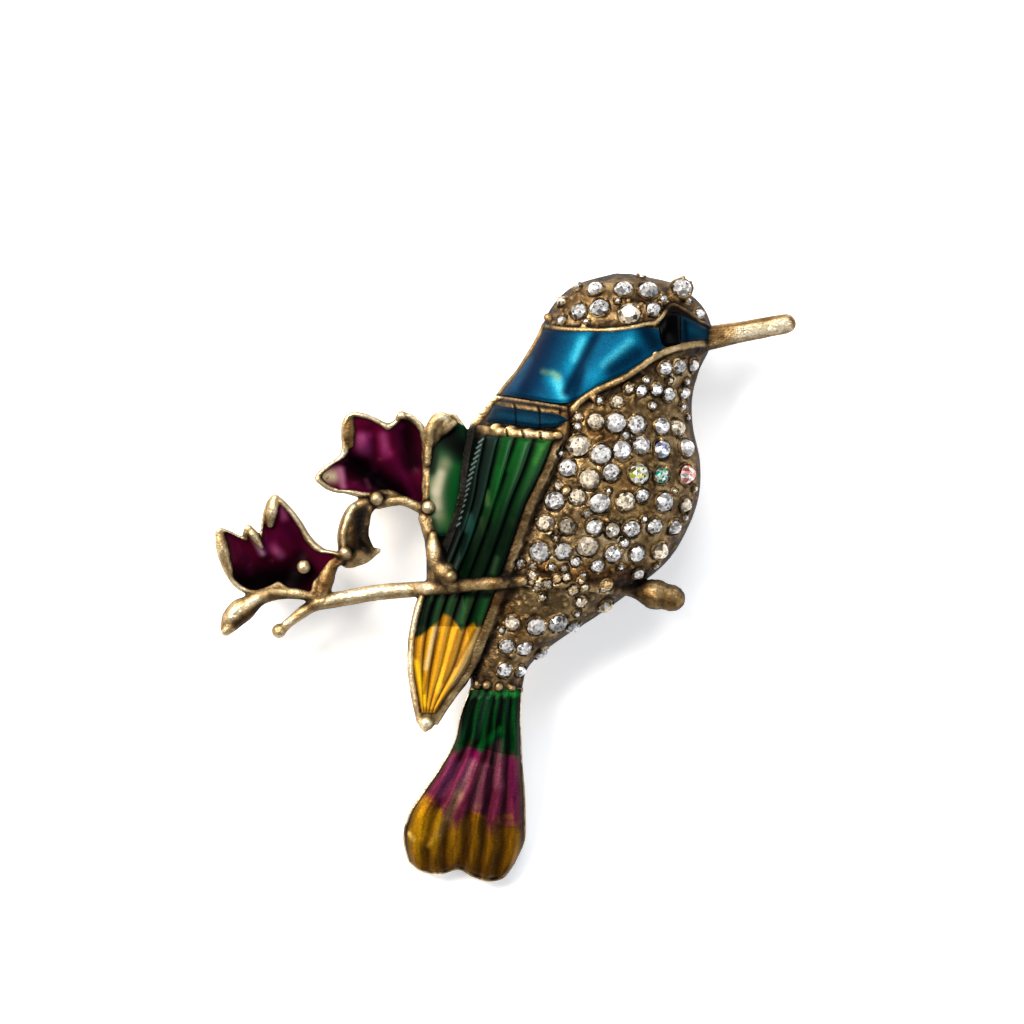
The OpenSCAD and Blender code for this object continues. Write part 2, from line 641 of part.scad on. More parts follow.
// Places and diameters of the stones in a table of rows
function stone_places(rows) = [
    for (i = [0:len(rows) - 1]) let (r = rows[i])
        for (k = [0:r[3] - 1])
            let (t = r[3] > 1 ? k / (r[3] - 1) : 0.5)
            let (sway = 0.004 * sin(137 * (7 * i + k)), drift = 0.0045 * sin(211 * (5 * i + k)))
            let (size = stone_d * r[4] * (1 + 0.06 * sin(97 * (3 * i + k))))
            [on_body(mix(r[1], r[2], t) + sway, r[0] + drift), size]
];

// A cut stone with a table, a crown of facets and a point, its girdle at z = 0
module stone(d) {
    n = STONE_SIDES;
    table = [for (i = [0:n - 1]) let (a = 360 * (i + 0.5) / n)
        [table_share * d / 2 * cos(a), table_share * d / 2 * sin(a), crown_share * d]];
    girdle = [for (i = [0:n - 1]) let (a = 360 * i / n) [d / 2 * cos(a), d / 2 * sin(a), 0]];
    depth = seat_depth - fit_gap;
    point = [0, 0, -depth];
    crown = [for (i = [0:n - 1]) each let (m = (i + 1) % n) [[i, n + m, n + i], [i, m, n + m]]];
    pavilion = [for (i = [0:n - 1]) [n + i, n + (i + 1) % n, 2 * n]];
    polyhedron(
        points = concat(table, girdle, [point]),
        faces = concat([[for (i = [n - 1:-1:0]) i]], crown, pavilion)
    );
}

// The stones of a table of rows, each on its own seat
module stones(rows) {
    for (s = stone_places(rows))
        on_surface(s[0]) translate([0, 0, girdle_lift]) stone(s[1]);
}

// The seats that the stones sit in
module seats(rows) {
    for (s = stone_places(rows))
        on_surface(s[0]) translate([0, 0, girdle_lift - seat_depth])
            cylinder(d = (s[1] + 2 * fit_gap) / cos(30), h = seat_depth + 1, $fn = 6);
}

// Path on the body's surface from a table of shares, rounded by extra points
function body_path(table, count) =
    let (rows = [for (i = [0:len(table) - 1]) concat([i], table[i])])
    [for (t = steps(0, len(table) - 1, count))
        let (p = on_body(at(rows, t, 1), at(rows, t, 2)))
        [p[0], p[1], body_height(p[0], p[1])]];

// Raised rims on the body, the wing and the leaf
module rims() {
    bar(body_path(CROWN_RIM, 9), rim_w, rim_h);
    bar(body_path(BROW_RIM, 7), rim_w, rim_h);
    bar(body_path(THROAT_RIM, 11), rim_w * 1.15, rim_h);
    // Outer edge of the nape
    bar([for (s = steps(0.125, 0.33, 6)) let (y = crown_y - s * body_len, x = body_edge(y, 1) + rim_w * 0.5)
        [x, y, body_height(x, y)]], rim_w, rim_h * 0.6);
    // Right edge of the wing, and its left edge below the branch
    bar([for (s = steps(0.02, 0.97, 14)) wing_rim(s, 1)], rim_w, rim_h);
    bar([for (s = steps(0.56, 0.97, 8)) wing_rim(s, -1)], rim_w, rim_h);
    // The two bars over the feathers
    bar([for (q = steps(-1, 1, 4)) wing_point(UPPER_BAR, q)], rim_w, rim_h);
    bar([for (q = steps(-1, 1, 4)) wing_point(LOWER_BAR, q)], 2 * BAR_SIDE * wing_len, rim_h);
    // Edges of the leaf
    bar([for (s = steps(0.03, 0.85, 8)) leaf_point(s, -1 + rim_w / 2 / leaf_half(s))], rim_w, rim_h);
    bar([for (s = steps(0.03, 0.12, 1)) leaf_point(s, 0.8)], rim_w, rim_h);
}

// The branch, its knob, the small leaves, the curl and the beads
module branch_and_leaves() {
    limb([for (s = concat(steps(0, 0.84, 18), steps(0.88, 1, 5)))
        [branch_point(s), branch_d * at(BRANCH, s, 2)]]);
    // Stem from the upper flower down to the branch
    limb(bowed(UPPER_ROOT, branch_xy(0.345) + [0, 0.15], [
        [0.0, 0.00, 1.08, 0.92], [0.4, 0.02, 1.31, 1.23], [0.75, 0.01, 1.54, 1.92], [0.9, 0.0, 1.69, 2.08],
        [1.0, 0.0, 1.69, 1.31]
    ], 6));
    // Leaf between the two flowers
    limb(bowed(UPPER_AT + upper_flower_r * [-0.19, -0.5], LOWER_AT + lower_flower_r * [0.89, 0.16], [
        [0.0, 0.00, 1.15, 0.90], [0.3, -0.14, 1.08, 1.75], [0.65, -0.11, 1.08, 1.92], [1.0, 0.0, 0.92, 1.23]
    ], 7));
    // Point of that leaf
    limb(bowed(LOWER_AT + lower_flower_r * [0.92, 0.17], LOWER_AT + lower_flower_r * [1.26, 0.27], [
        [0.0, 0.00, 0.92, 1.30], [0.5, 0.02, 0.92, 1.25], [1.0, 0.0, 0.92, 0.38]
    ], 4));
    // Arch from that leaf to the stem, under the upper flower
    limb(bowed(UPPER_AT + upper_flower_r * [-0.12, -0.56], UPPER_AT + upper_flower_r * [0.56, -0.68], [
        [0.0, 0.00, 1.08, 0.70], [0.4, 0.15, 1.08, 0.75], [0.8, 0.07, 1.08, 0.75], [1.0, 0.0, 1.08, 0.80]
    ], 6));
    // Gold leaf under the lower flower
    limb(bowed(LOWER_ROOT, LOWER_AT + lower_flower_r * [-0.62, -0.72], [
        [0.0, 0.0, 1.00, 0.77], [0.3, -0.16, 1.00, 0.80], [0.6, -0.215, 1.1, 1.15], [0.8, -0.13, 1.2, 1.50],
        [1.0, 0.0, 1.23, 0.75]
    ], 10));
    // Curl under the branch's left end
    limb(bowed(branch_xy(0.09), LOWER_AT + lower_flower_r * [0.04, -0.73], [
        [0.0, 0.0, 1.00, 0.92], [0.45, -0.11, 1.00, 0.92], [0.85, -0.05, 1.00, 0.70], [1.0, 0.0, 1.00, 0.62]
    ], 7));
    // Gold tip over the upper flower
    limb(bowed(UPPER_AT + upper_flower_r * [0.53, 0.0], LEAF_TOP + [-0.75, -0.8], [
        [0.0, 0.0, 1.38, 0.62], [0.5, 0.08, 1.38, 0.77], [1.0, 0.0, 1.31, 0.77]
    ], 4));
}

module beads() {
    bead(LOWER_AT + lower_flower_r * [0.03, -0.72], 1.00);
    bead(LOWER_AT + lower_flower_r * [0.86, 0.24], 1.46);
    bead(FLOWER_BEAD, 1.62);
    bead(UPPER_AT + upper_flower_r * [-0.15, -0.48], 1.54);
    bead(UPPER_AT + upper_flower_r * [0.54, -0.60], 1.54);
    bead(branch_xy(0.364) + [0, 0.95], 2.62);
    bead(branch_xy(0.315) + [0, 3.0], 1.92);
    bead(branch_xy(0.925) + [0, -0.1], 1.54);
}

// Everything that is cast and soldered as one
module gilt_casting() {
    color(GOLD) translate([0, 0, back_z]) difference() {
        union() {
            body_dome();
            wing_base_metal();
            leaf_metal();
            tail_metal();
            beak();
            rims();
            branch_and_leaves();
            beads();
            flower_metal(UPPER_AT, UPPER_FLOWER, upper_flower_r);
            flower_metal(LOWER_AT, LOWER_FLOWER, lower_flower_r);
        }
        body_hollow();
        seats(CROWN_ROWS);
        seats(BREAST_ROWS);
        seats(VENT_ROWS);
    }
}

// Fill between two edges on the body. The columns of its table are those of NAPE
module body_fill(table, from, to, along, across, edge) {
    translate([0, 0, back_z]) loft([for (t = steps(from, to, along))
        let (upper = on_body(at(table, t, 1), at(table, t, 2)))
        let (lower = on_body(at(table, t, 3), at(table, t, 4)))
        let (inset = min(edge / norm(upper - lower), 0.4))
        let (line = [for (w = steps(inset, 1 - inset, across)) let (p = mix(lower, upper, w))
            [p[0], p[1], body_height(p[0], p[1])]])
        section(
            [for (p = line) [p[0], p[1], p[2] + enamel_t]],
            [for (p = line) [p[0], p[1], p[2] + fit_gap]]
        )], thin = true);
}

// Fill on the wing between two stations, from one groove or rim to another.
// It keeps clear of the rims, and of the grooves where it meets another fill
module wing_fill(span, low, high, count) {
    turns = [for (q = ridge_places(FEATHERS, FEATHER_PEAK)) if (q > low + 0.01 && q < high - 0.01) q];
    translate([0, 0, back_z]) loft([for (s = steps(span[0], span[1], count))
        let (clear = 0.11 / (wing_half(s) - rim_w))
        let (places = concat([low + clear], turns, [high - clear]))
        section(
            [for (q = places) wing_point(s, q, enamel_t)],
            [for (q = places) wing_point(s, q, fit_gap * 1.8)]
        )], thin = true);
}

// Fill on the tail between two slanted lines, from a row of TAIL_SPANS
module tail_fill(span) {
    places = concat([-0.98], [for (q = ridge_places(RIBS, RIB_PEAK)) if (abs(q) < 1) q], [0.98]);
    rings = [for (t = steps(0, 1, 4)) [for (q = places)
        [mix(span[0], span[1], t) + mix(span[2], span[3], t) * q, q]]];
    translate([0, 0, back_z]) loft([for (ring = rings)
        section(
            [for (q = ring) tail_point(q[0], q[1], enamel_t)],
            [for (q = ring) tail_point(q[0], q[1], fit_gap)]
        )], thin = true);
}

EDGE = rim_w / 2 + 2 * fit_gap;
// Half the gap between two fills that meet
PART = 0.02;

module nape_enamel() color(BLUE) body_fill(NAPE, 0.095, 0.97, 10, 4, EDGE);
module eye() color(BLACK) body_fill(EYE_CELL, 0.23, EYE_END - PART, 4, 2, EDGE);
module lore_enamel() color(DARK_BLUE) body_fill(EYE_CELL, EYE_END + PART, 0.76, 4, 2, EDGE);
module collar_enamel() color(BLUE) wing_fill(COLLAR_SPAN, -1, 1, 1);
module wing_green_enamel() color(GREEN) {
    wing_fill(GREEN_SPANS[0], TEAL_EDGE, 1, 8);
    wing_fill(GREEN_SPANS[1], -1, 1, 2);
}
module wing_teal_enamel() color(TEAL) wing_fill(TEAL_SPAN, -1, TEAL_EDGE, 6);
module wing_yellow_enamel() color(YELLOW) wing_fill(YELLOW_SPAN, -1, 1, 6);
module leaf_enamel() color(GREEN) translate([0, 0, back_z]) loft([for (s = steps(0.14, 0.72, 7))
    let (low = -1 + (rim_w + 0.24) / leaf_half(s), high = 1 - (LEAF_TUCK + 0.15) / leaf_half(s))
    section(
        [for (v = steps(low, high, 3)) leaf_point(s, v, enamel_t)],
        [for (v = steps(low, high, 3)) leaf_point(s, v, fit_gap)]
    )], thin = true);
module tail_green_enamel() color(GREEN) tail_fill(TAIL_SPANS[0]);
module tail_purple_enamel() color(PURPLE) tail_fill(TAIL_SPANS[1]);
module tail_yellow_enamel() color(YELLOW) tail_fill(TAIL_SPANS[2]);
module upper_flower_enamel()
    color(MAGENTA) translate([0, 0, back_z]) flower_enamel(UPPER_AT, UPPER_FLOWER, upper_flower_r);
module lower_flower_enamel()
    color(MAGENTA) translate([0, 0, back_z]) difference() {
        flower_enamel(LOWER_AT, LOWER_FLOWER, lower_flower_r);
        translate([FLOWER_BEAD[0], FLOWER_BEAD[1], 0])
            cylinder(d = bead_d + 2 * fit_gap, h = back_z + flower_lift, $fn = 8);
    }
module crown_stones() color(CLEAR) translate([0, 0, back_z]) stones(CROWN_ROWS);
module breast_stones() color(CLEAR) translate([0, 0, back_z]) stones(BREAST_ROWS);
module vent_stones() color(CLEAR) translate([0, 0, back_z]) stones(VENT_ROWS);

// The pin fitting: a bar under the casting's back, a hinge, a straight wire and a hooked catch
PIN_AT = on_body(0.005, 0.41);
module pin_back() {
    bar_z = back_z - fit_gap - bar_t;
    half = bar_len / 2 - plate_t;
    wire_z = wire_d * 1.2;
    hook_r = wire_d;
    color(GOLD) translate([PIN_AT[0], PIN_AT[1], 0]) {
        translate([-bar_len / 2, -bar_w / 2, bar_z]) cube([bar_len, bar_w, bar_t]);
        // Hinge plate that holds the wire
        translate([-half - plate_t, -bar_w / 2, 0]) cube([plate_t * 2, bar_w, bar_z + bar_t / 2]);
        // Wire
        translate([-half, 0, wire_z]) rotate([0, 90, 0])
            cylinder(d = wire_d, h = bar_len - plate_t * 1.6, $fn = 32);
        // Catch: a plate with a round hook that is open on one side
        translate([half - plate_t / 2, 0, 0]) difference() {
            union() {
                translate([0, hook_r * 0.6, wire_z]) cube([plate_t, plate_t, bar_z - wire_z + bar_t / 2]);
                translate([0, 0, wire_z]) rotate([0, 90, 0]) cylinder(r = wire_z, h = plate_t, $fn = 32);
            }
            translate([-plate_t, 0, wire_z]) rotate([0, 90, 0])
                cylinder(d = wire_d + 2 * fit_gap, h = 3 * plate_t, $fn = 32);
            translate([-plate_t, -2 * hook_r, wire_z]) cube([3 * plate_t, 2 * hook_r, 2 * hook_r]);
        }
    }
}

gilt_casting();
nape_enamel();
collar_enamel();
lore_enamel();
eye();
wing_green_enamel();
wing_teal_enamel();
wing_yellow_enamel();
leaf_enamel();
tail_green_enamel();
tail_purple_enamel();
tail_yellow_enamel();
upper_flower_enamel();
lower_flower_enamel();
crown_stones();
breast_stones();
vent_stones();
pin_back();
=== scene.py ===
"""Looks of the bird brooch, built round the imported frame.

An antique gilt casting lies on its back on a pale floor. It has coloured enamel fills, fields of
cut rhinestones in grainy settings, and a plain pin fitting behind it.
Sizes are in millimetres, as in the part's source, and become metres where a mesh is made.
"""

import bmesh
import bpy
import numpy as np
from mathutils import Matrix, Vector


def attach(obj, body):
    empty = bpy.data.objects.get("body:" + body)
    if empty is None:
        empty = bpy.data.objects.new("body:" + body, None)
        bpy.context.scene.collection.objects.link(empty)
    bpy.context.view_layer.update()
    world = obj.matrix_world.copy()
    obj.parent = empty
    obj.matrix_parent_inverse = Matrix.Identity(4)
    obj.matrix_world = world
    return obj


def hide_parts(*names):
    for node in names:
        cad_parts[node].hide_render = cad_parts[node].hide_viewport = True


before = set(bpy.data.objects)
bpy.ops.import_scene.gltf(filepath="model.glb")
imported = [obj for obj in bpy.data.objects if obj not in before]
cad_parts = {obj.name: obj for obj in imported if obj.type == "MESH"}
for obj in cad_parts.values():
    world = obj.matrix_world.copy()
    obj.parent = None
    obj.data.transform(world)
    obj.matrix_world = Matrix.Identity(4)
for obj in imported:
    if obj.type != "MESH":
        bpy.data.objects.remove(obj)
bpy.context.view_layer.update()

MM = 0.001

# Sizes of the part, repeated from its source
BACK_Z = 4.2
BODY_LEN, BODY_W, BODY_RISE, WALL = 37.8, 21.6, 6.6, 1.3
BODY_X, CROWN_Y = 7.0, 27.6
BEAK_LEN, BEAK_ROOT_W, BEAK_TIP_W, BEAK_T = 6.4, 2.2, 1.75, 1.7
WING_LEN, WING_W, WING_SWEEP, WING_STEP, WING_LEVEL = 29.8, 8.3, 8.1, 0.9, 1.5
FEATHER_H, WING_DROOP = 0.35, 0.35
LEAF_LEN, LEAF_W, LEAF_LEVEL, LEAF_BULGE = 13.8, 3.9, 1.2, 0.6
TAIL_LEN, TAIL_W, TAIL_ROOT_T, TAIL_TIP_T, RIB_H, TAIL_DROOP = 17.8, 11.0, 2.4, 1.5, 0.4, 0.5
BRANCH_LEN, BRANCH_D, BRANCH_LEVEL = 33.0, 1.3, 1.3
UPPER_FLOWER_R, LOWER_FLOWER_R, FLOWER_FLOOR, FLOWER_LIFT = 6.75, 7.3, 1.1, 1.3
BEAD_D = 1.3
RIM_W, RIM_H, ENAMEL_T, FIT_GAP = 0.7, 0.55, 0.4, 0.1
STONE_D, CROWN_SHARE, TABLE_SHARE, SEAT_DEPTH, GIRDLE_LIFT = 1.7, 0.3, 0.58, 0.6, 0.1
BAR_LEN, BAR_W, BAR_T, WIRE_D, PLATE_T = 19.2, 3.2, 0.8, 0.9, 0.9

# Outlines of the part, repeated from its source. The columns are those named there
BODY = [
    [0, 0.13, 0.2, 0.16], [0.02, 0, 0.365, 0.42], [0.045, -0.075, 0.44, 0.58], [0.08, -0.13, 0.505, 0.7],
    [0.13, -0.175, 0.54, 0.8], [0.175, -0.215, 0.535, 0.84], [0.23, -0.275, 0.49, 0.88],
    [0.295, -0.365, 0.46, 0.91], [0.365, -0.44, 0.462, 0.95], [0.45, -0.485, 0.492, 0.99],
    [0.535, -0.505, 0.486, 1], [0.615, -0.51, 0.436, 0.96], [0.69, -0.51, 0.352, 0.88],
    [0.76, -0.5, 0.205, 0.76], [0.82, -0.485, 0.06, 0.63], [0.88, -0.475, -0.105, 0.52],
    [0.94, -0.47, -0.225, 0.43], [1, -0.47, -0.255, 0.37],
]
WING = [
    [0, -0.22, 0.56], [0.04, -0.325, 0.59], [0.08, -0.405, 0.61], [0.2, -0.39, 0.575], [0.3, -0.335, 0.5],
    [0.4, -0.35, 0.475], [0.5, -0.4, 0.45], [0.6, -0.475, 0.42], [0.7, -0.465, 0.39], [0.8, -0.39, 0.345],
    [0.9, -0.245, 0.19], [0.96, -0.14, 0.11], [1, -0.06, 0.05],
]
FEATHERS = [-1, -0.7, -0.36, 0.03, 0.51, 1]
FEATHER_PEAK = 0.7
SHOULDER_SLANT = 0.018
LEAF = [
    [0, -0.12, 0.24], [0.09, -0.36, 0.45], [0.19, -0.45, 0.52], [0.32, -0.5, 0.48], [0.45, -0.51, 0.41],
    [0.6, -0.5, 0.29], [0.74, -0.44, 0.18], [0.87, -0.37, 0.02], [1, -0.3, -0.1],
]
TAIL = [
    [0, -0.213, 0.213, 0], [0.14, -0.295, 0.205, 0.05], [0.28, -0.345, 0.21, 0.15],
    [0.42, -0.46, 0.22, 0.3], [0.56, -0.6, 0.238, 0.46], [0.7, -0.725, 0.245, 0.63],
    [0.85, -0.77, 0.238, 0.82], [1, -0.73, 0.155, 1],
]
TAIL_LOBES = [
    [-1, 0.9], [-0.75, 0.95], [-0.4, 0.965], [-0.05, 0.94], [0.2, 0.975], [0.5, 1], [0.8, 0.98], [1, 0.91],
]
RIBS = [k / 3 for k in range(-3, 4)]
SEEN_RIBS = [-1, -0.63, -0.33, 0.03, 0.3, 0.62, 1]
RIB_PEAK = 0.5
BRANCH = [
    [0, -0.051, 1.05], [0.073, -0.038, 1.12], [0.167, -0.022, 1.12], [0.261, -0.015, 1.1],
    [0.356, -0.008, 1.05], [0.437, 0.001, 1], [0.518, 0.008, 0.95], [0.59, 0.01, 0.9], [0.7, 0.001, 0.85],
    [0.8, -0.013, 0.8], [0.868, -0.018, 1.1], [0.915, -0.026, 2.1], [0.955, -0.035, 1.75], [1, -0.05, 0.6],
]
BRANCH_CROSSING = 0.552
BRANCH_ON_BODY = [-0.2625, 0.743]
BRANCH_SINK = [[0, 0], [0.56, 0], [0.66, 0.25], [0.8, 0.25], [0.9, 0], [1, 0]]
UPPER_FLOWER = [
    [-51, 0.81, 0], [-35, 0.64, 0.1], [4, 0.545, 0.3], [34, 0.625, 0.5], [47, 0.69, 0.7], [60, 0.71, 0.9],
    [70, 0.7, 0.9], [79, 0.59, 0.6], [90, 0.525, 0.4], [104, 0.61, 0.6], [117, 0.74, 0.9], [128, 0.84, 1],
    [140, 0.805, 0.9], [151, 0.715, 0.6], [163, 0.645, 0.5], [174, 0.675, 0.5], [184, 0.855, 0.7],
    [192, 1, 0.9], [200, 0.94, 0.8], [208, 0.84, 0.6], [217, 0.7, 0.5], [235, 0.58, 0.3], [252, 0.48, 0.3],
    [273, 0.455, 0.2], [292, 0.545, 0.1], [301, 0.7, 0], [309, 0.81, 0],
]
LOWER_FLOWER = [
    [-29, 0.57, 0], [-10, 0.56, 0.1], [3, 0.72, 0.2], [11, 0.88, 0.4], [17, 0.83, 0.4], [26, 0.66, 0.3],
    [47, 0.615, 0.4], [66, 0.72, 0.6], [79, 0.84, 0.8], [91, 0.955, 1], [98, 0.87, 0.8], [106, 0.665, 0.6],
    [113, 0.53, 0.4], [120, 0.62, 0.7], [128, 0.66, 0.9], [134, 0.62, 0.6], [142, 0.9, 1],
    [150, 0.865, 0.9], [162, 0.77, 0.8], [176, 0.66, 0.6], [194, 0.57, 0.4], [214, 0.46, 0.3],
    [236, 0.29, 0.1], [270, 0.2, 0], [300, 0.24, 0], [331, 0.57, 0],
]
UPPER_MIDDLE, LOWER_MIDDLE = np.array([-0.49, 0.74]), np.array([-0.65, 0.35])
CROWN_ROWS = [
    [0.038, 0.05, 0.29, 3, 1.06], [0.036, 0.395, 0.395, 1, 0.9], [0.096, -0.035, 0.18, 3, 1.15],
    [0.078, -0.092, -0.092, 1, 0.68], [0.094, 0.275, 0.275, 1, 0.74], [0.112, 0.485, 0.485, 1, 0.76],
]
BREAST_ROWS = [
    [0.221, 0.335, 0.458, 3, 0.74], [0.288, 0.225, 0.425, 4, 0.79], [0.312, 0.132, 0.132, 1, 0.82],
    [0.358, 0.042, 0.405, 5, 1], [0.418, -0.018, 0.43, 6, 1.01], [0.48, -0.068, 0.435, 6, 1.09],
    [0.543, -0.12, 0.43, 7, 0.98], [0.606, -0.155, 0.388, 7, 0.98], [0.666, -0.195, 0.32, 6, 1.03],
    [0.706, 0.05, 0.225, 2, 0.71], [0.742, -0.165, 0.075, 5, 0.59],
]
VENT_ROWS = [
    [0.79, -0.01, 0.1, 2, 0.74], [0.835, -0.3, -0.02, 4, 0.94], [0.892, -0.325, -0.15, 3, 0.91],
    [0.945, -0.345, -0.245, 2, 0.85],
]
CROWN_RIM = [
    [-0.175, 0.127], [-0.11, 0.134], [-0.033, 0.138], [0.092, 0.14], [0.175, 0.136], [0.245, 0.128],
    [0.3, 0.122],
]
BROW_RIM = [[0.29, 0.128], [0.329, 0.106], [0.368, 0.08], [0.421, 0.092], [0.49, 0.118], [0.555, 0.142]]
THROAT_RIM = [
    [0.56, 0.166], [0.446, 0.173], [0.342, 0.19], [0.275, 0.212], [0.175, 0.252], [0.071, 0.279],
    [-0.012, 0.309], [-0.065, 0.345],
]
NAPE = [
    [0, -0.175, 0.128, -0.358, 0.294], [0.2, -0.071, 0.135, -0.233, 0.306],
    [0.4, 0.029, 0.139, -0.104, 0.318], [0.55, 0.096, 0.14, -0.029, 0.308],
    [0.7, 0.162, 0.137, 0.068, 0.272], [0.85, 0.238, 0.129, 0.178, 0.242], [1, 0.321, 0.137, 0.338, 0.186],
]
EYE_CELL = [
    [0, 0.31, 0.128, 0.318, 0.176], [0.25, 0.354, 0.093, 0.36, 0.186], [0.5, 0.421, 0.097, 0.425, 0.178],
    [1, 0.575, 0.145, 0.575, 0.162],
]
EYE_END = 0.44
UPPER_BAR, LOWER_BAR = 0.024, 0.098
YELLOW_BELOW, YELLOW_END = 0.127, 0.93
TEAL_EDGE = -0.36
TAIL_SPANS = [[0.04, 0.31, 0, 0.03], [0.318, 0.655, 0.03, 0.07], [0.663, 0.96, 0.07, 0]]


# Numbers and curves

def mix(a, b, t):
    return a + (b - a) * t


def smooth(low, high, value):
    """0 below low, 1 above high, with a soft turn between them"""
    t = np.clip((value - low) / (high - low), 0, 1)
    return t * t * (3 - 2 * t)


def at(table, s, column):
    """Smooth value of a table's column at s, as the part's source works it out"""
    rows = np.asarray(table, float)
    x, y = rows[:, 0], rows[:, column]
    before = np.maximum(np.arange(len(x)) - 1, 0)
    after = np.minimum(np.arange(len(x)) + 1, len(x) - 1)
    slope = (y[after] - y[before]) / (x[after] - x[before])
    s = np.asarray(s, float)
    i = np.clip(np.searchsorted(x, s, side="right") - 1, 0, len(x) - 2)
    h = x[i + 1] - x[i]
    t = np.clip((s - x[i]) / h, 0, 1)
    return ((2 * t**3 - 3 * t**2 + 1) * y[i] + (t**3 - 2 * t**2 + t) * slope[i] * h
            + (3 * t**2 - 2 * t**3) * y[i + 1] + (t**3 - t**2) * slope[i + 1] * h)


def points(x, y, z):
    return np.stack(np.broadcast_arrays(x, y, z), axis=-1).astype(float)


def grid(rows, columns):
    """Shares down and across a grid, each from its first to its last value in a number of steps"""
    return np.linspace(*rows)[:, None], np.linspace(*columns)[None]


def lumps(where, cell, seed):
    """Smooth noise from -1 to 1, whose lumps are about cell mm wide"""
    table = np.random.default_rng(seed).uniform(-1, 1, (32, 32, 32))
    low = np.floor(where / cell).astype(int)
    t = where / cell - low
    t = t * t * (3 - 2 * t)
    total = 0
    for corner in np.ndindex(2, 2, 2):
        weight = np.prod([t[..., k] if corner[k] else 1 - t[..., k] for k in range(3)], axis=0)
        i, j, k = [(low[..., a] + corner[a]) % 32 for a in range(3)]
        total = total + weight * table[i, j, k]
    return total


def colour(code):
    """Linear red, green and blue of a hex colour"""
    values = np.array([int(code[k:k + 2], 16) / 255 for k in (1, 3, 5)])
    return np.where(values <= 0.04045, values / 12.92, ((values + 0.055) / 1.055)**2.4)


# The photograph's frame: the place in mm that one of its 1024 by 1024 pixels shows
PIXEL = 0.09
PIXEL_ORIGIN = (505.2, 579.0)


def spot(px, py):
    return np.array([(px - PIXEL_ORIGIN[0]) * PIXEL, (PIXEL_ORIGIN[1] - py) * PIXEL])


def pixels_of(where):
    return PIXEL_ORIGIN[0] + where[..., 0] / PIXEL, PIXEL_ORIGIN[1] - where[..., 1] / PIXEL


def gap_to(where, x0, y0, x1, y1):
    """Distance in mm from points to the stroke between two pixels"""
    a, b = spot(x0, y0), spot(x1, y1)
    d = b - a
    t = np.clip(((where[..., :2] - a) @ d) / max(d @ d, 1e-9), 0, 1)
    return np.linalg.norm(where[..., :2] - (a + t[..., None] * d), axis=-1)


def stroke(where, ends, width):
    """Soft mask of a stroke: 1 on its line, 0 from width mm on"""
    return 1 - smooth(0, width, gap_to(where, *ends))


def lifted(z, where, folds):
    """Heights with soft folds: each has two pixels, a width in pixels and a height in mm"""
    for *ends, width, high in folds:
        gap = gap_to(where, *ends) / (width * PIXEL)
        z = z + high * np.exp(-gap**2)
    return z


def painted(base, where, strokes):
    """Base colours with soft strokes over them, mixed as the eye sees them.
    Each stroke has two pixels, a width in pixels, a hex colour and its strength"""
    if isinstance(base, str):
        base = np.tile(colour(base), (*where.shape[:-1], 1))
    seen = np.clip(base, 0, 1)**(1 / 2.2)
    for *ends, width, code, strength in strokes:
        mask = (stroke(where, ends, width * PIXEL) * strength)[..., None]
        seen = mix(seen, colour(code)**(1 / 2.2), mask)
    return seen**2.2


# The part's surfaces, over the back face of the casting

def on_body(across, down):
    return np.array([BODY_X + across * BODY_W, CROWN_Y - down * BODY_LEN])


def body_edge(y, column):
    return BODY_X + BODY_W * at(BODY, (CROWN_Y - y) / BODY_LEN, column)


def body_height(x, y):
    s = (CROWN_Y - y) / BODY_LEN
    a, b = body_edge(y, 1), body_edge(y, 2)
    v = (2 * x - a - b) / (b - a)
    high = BODY_RISE * at(BODY, s, 3) * np.sqrt(np.clip(1 - v * v, 0, None))
    return np.where((s < 0) | (s > 1), 0.0, high)


def on_dome(x, y):
    return points(x, y, body_height(x, y))


def body_normal(x, y):
    e = 0.05
    dx = (body_height(x + e, y) - body_height(x - e, y)) / (2 * e)
    dy = (body_height(x, y + e) - body_height(x, y - e)) / (2 * e)
    n = points(-dx, -dy, 1)
    return n / np.linalg.norm(n, axis=-1, keepdims=True)


def saw(v, grooves, peak):
    """0 in each groove and 1 on each ridge, and where a place lies in its own feather, 0 to 1"""
    g = np.asarray(grooves, float)
    i = np.clip(np.searchsorted(g, v, side="right") - 1, 0, len(g) - 2)
    t = np.clip((v - g[i]) / (g[i + 1] - g[i]), 0, 1)
    return np.where(t < peak, t / peak, (1 - t) / (1 - peak)), t


def ridge(v, grooves, peak):
    """The sawtooth of the part's source with rounded feathers and sharp grooves"""
    return np.sin(saw(v, grooves, peak)[0] * np.pi / 2)**0.9


def place(q, half, border):
    """Place across a form, where q is the place inside its rims"""
    return q * np.maximum(0.3, 1 - border / half)


def half_width(table, width, s):
    return width * (at(table, s, 2) - at(table, s, 1)) / 2


SHOULDER = on_body(-0.283, 0.307)


def wing_xy(s, v):
    a, b = at(WING, s, 1), at(WING, s, 2)
    x = SHOULDER[0] - WING_SWEEP * s + WING_W * mix(a, b, (v + 1) / 2)
    return x, SHOULDER[1] - WING_LEN * (s + SHOULDER_SLANT * v * (1 - s)**3)


def wing_base(x, y):
    over_body = body_height(x, y)
    return (over_body + WING_LEVEL + np.sqrt((over_body - WING_LEVEL)**2 + 0.6**2)) / 2 + WING_STEP


def wing_point(s, q, lift=0.0):
    v = place(q, half_width(WING, WING_W, s), RIM_W)
    x, y = wing_xy(s, v)
    taper = np.minimum(1, (1 - s) * 4) * np.minimum(1, np.maximum(0, s - 0.07) / 0.07)
    z = wing_base(x, y) - WING_DROOP * np.abs(v)**4 + FEATHER_H * taper * ridge(q, FEATHERS, FEATHER_PEAK)
    return points(x, y, z + lift)


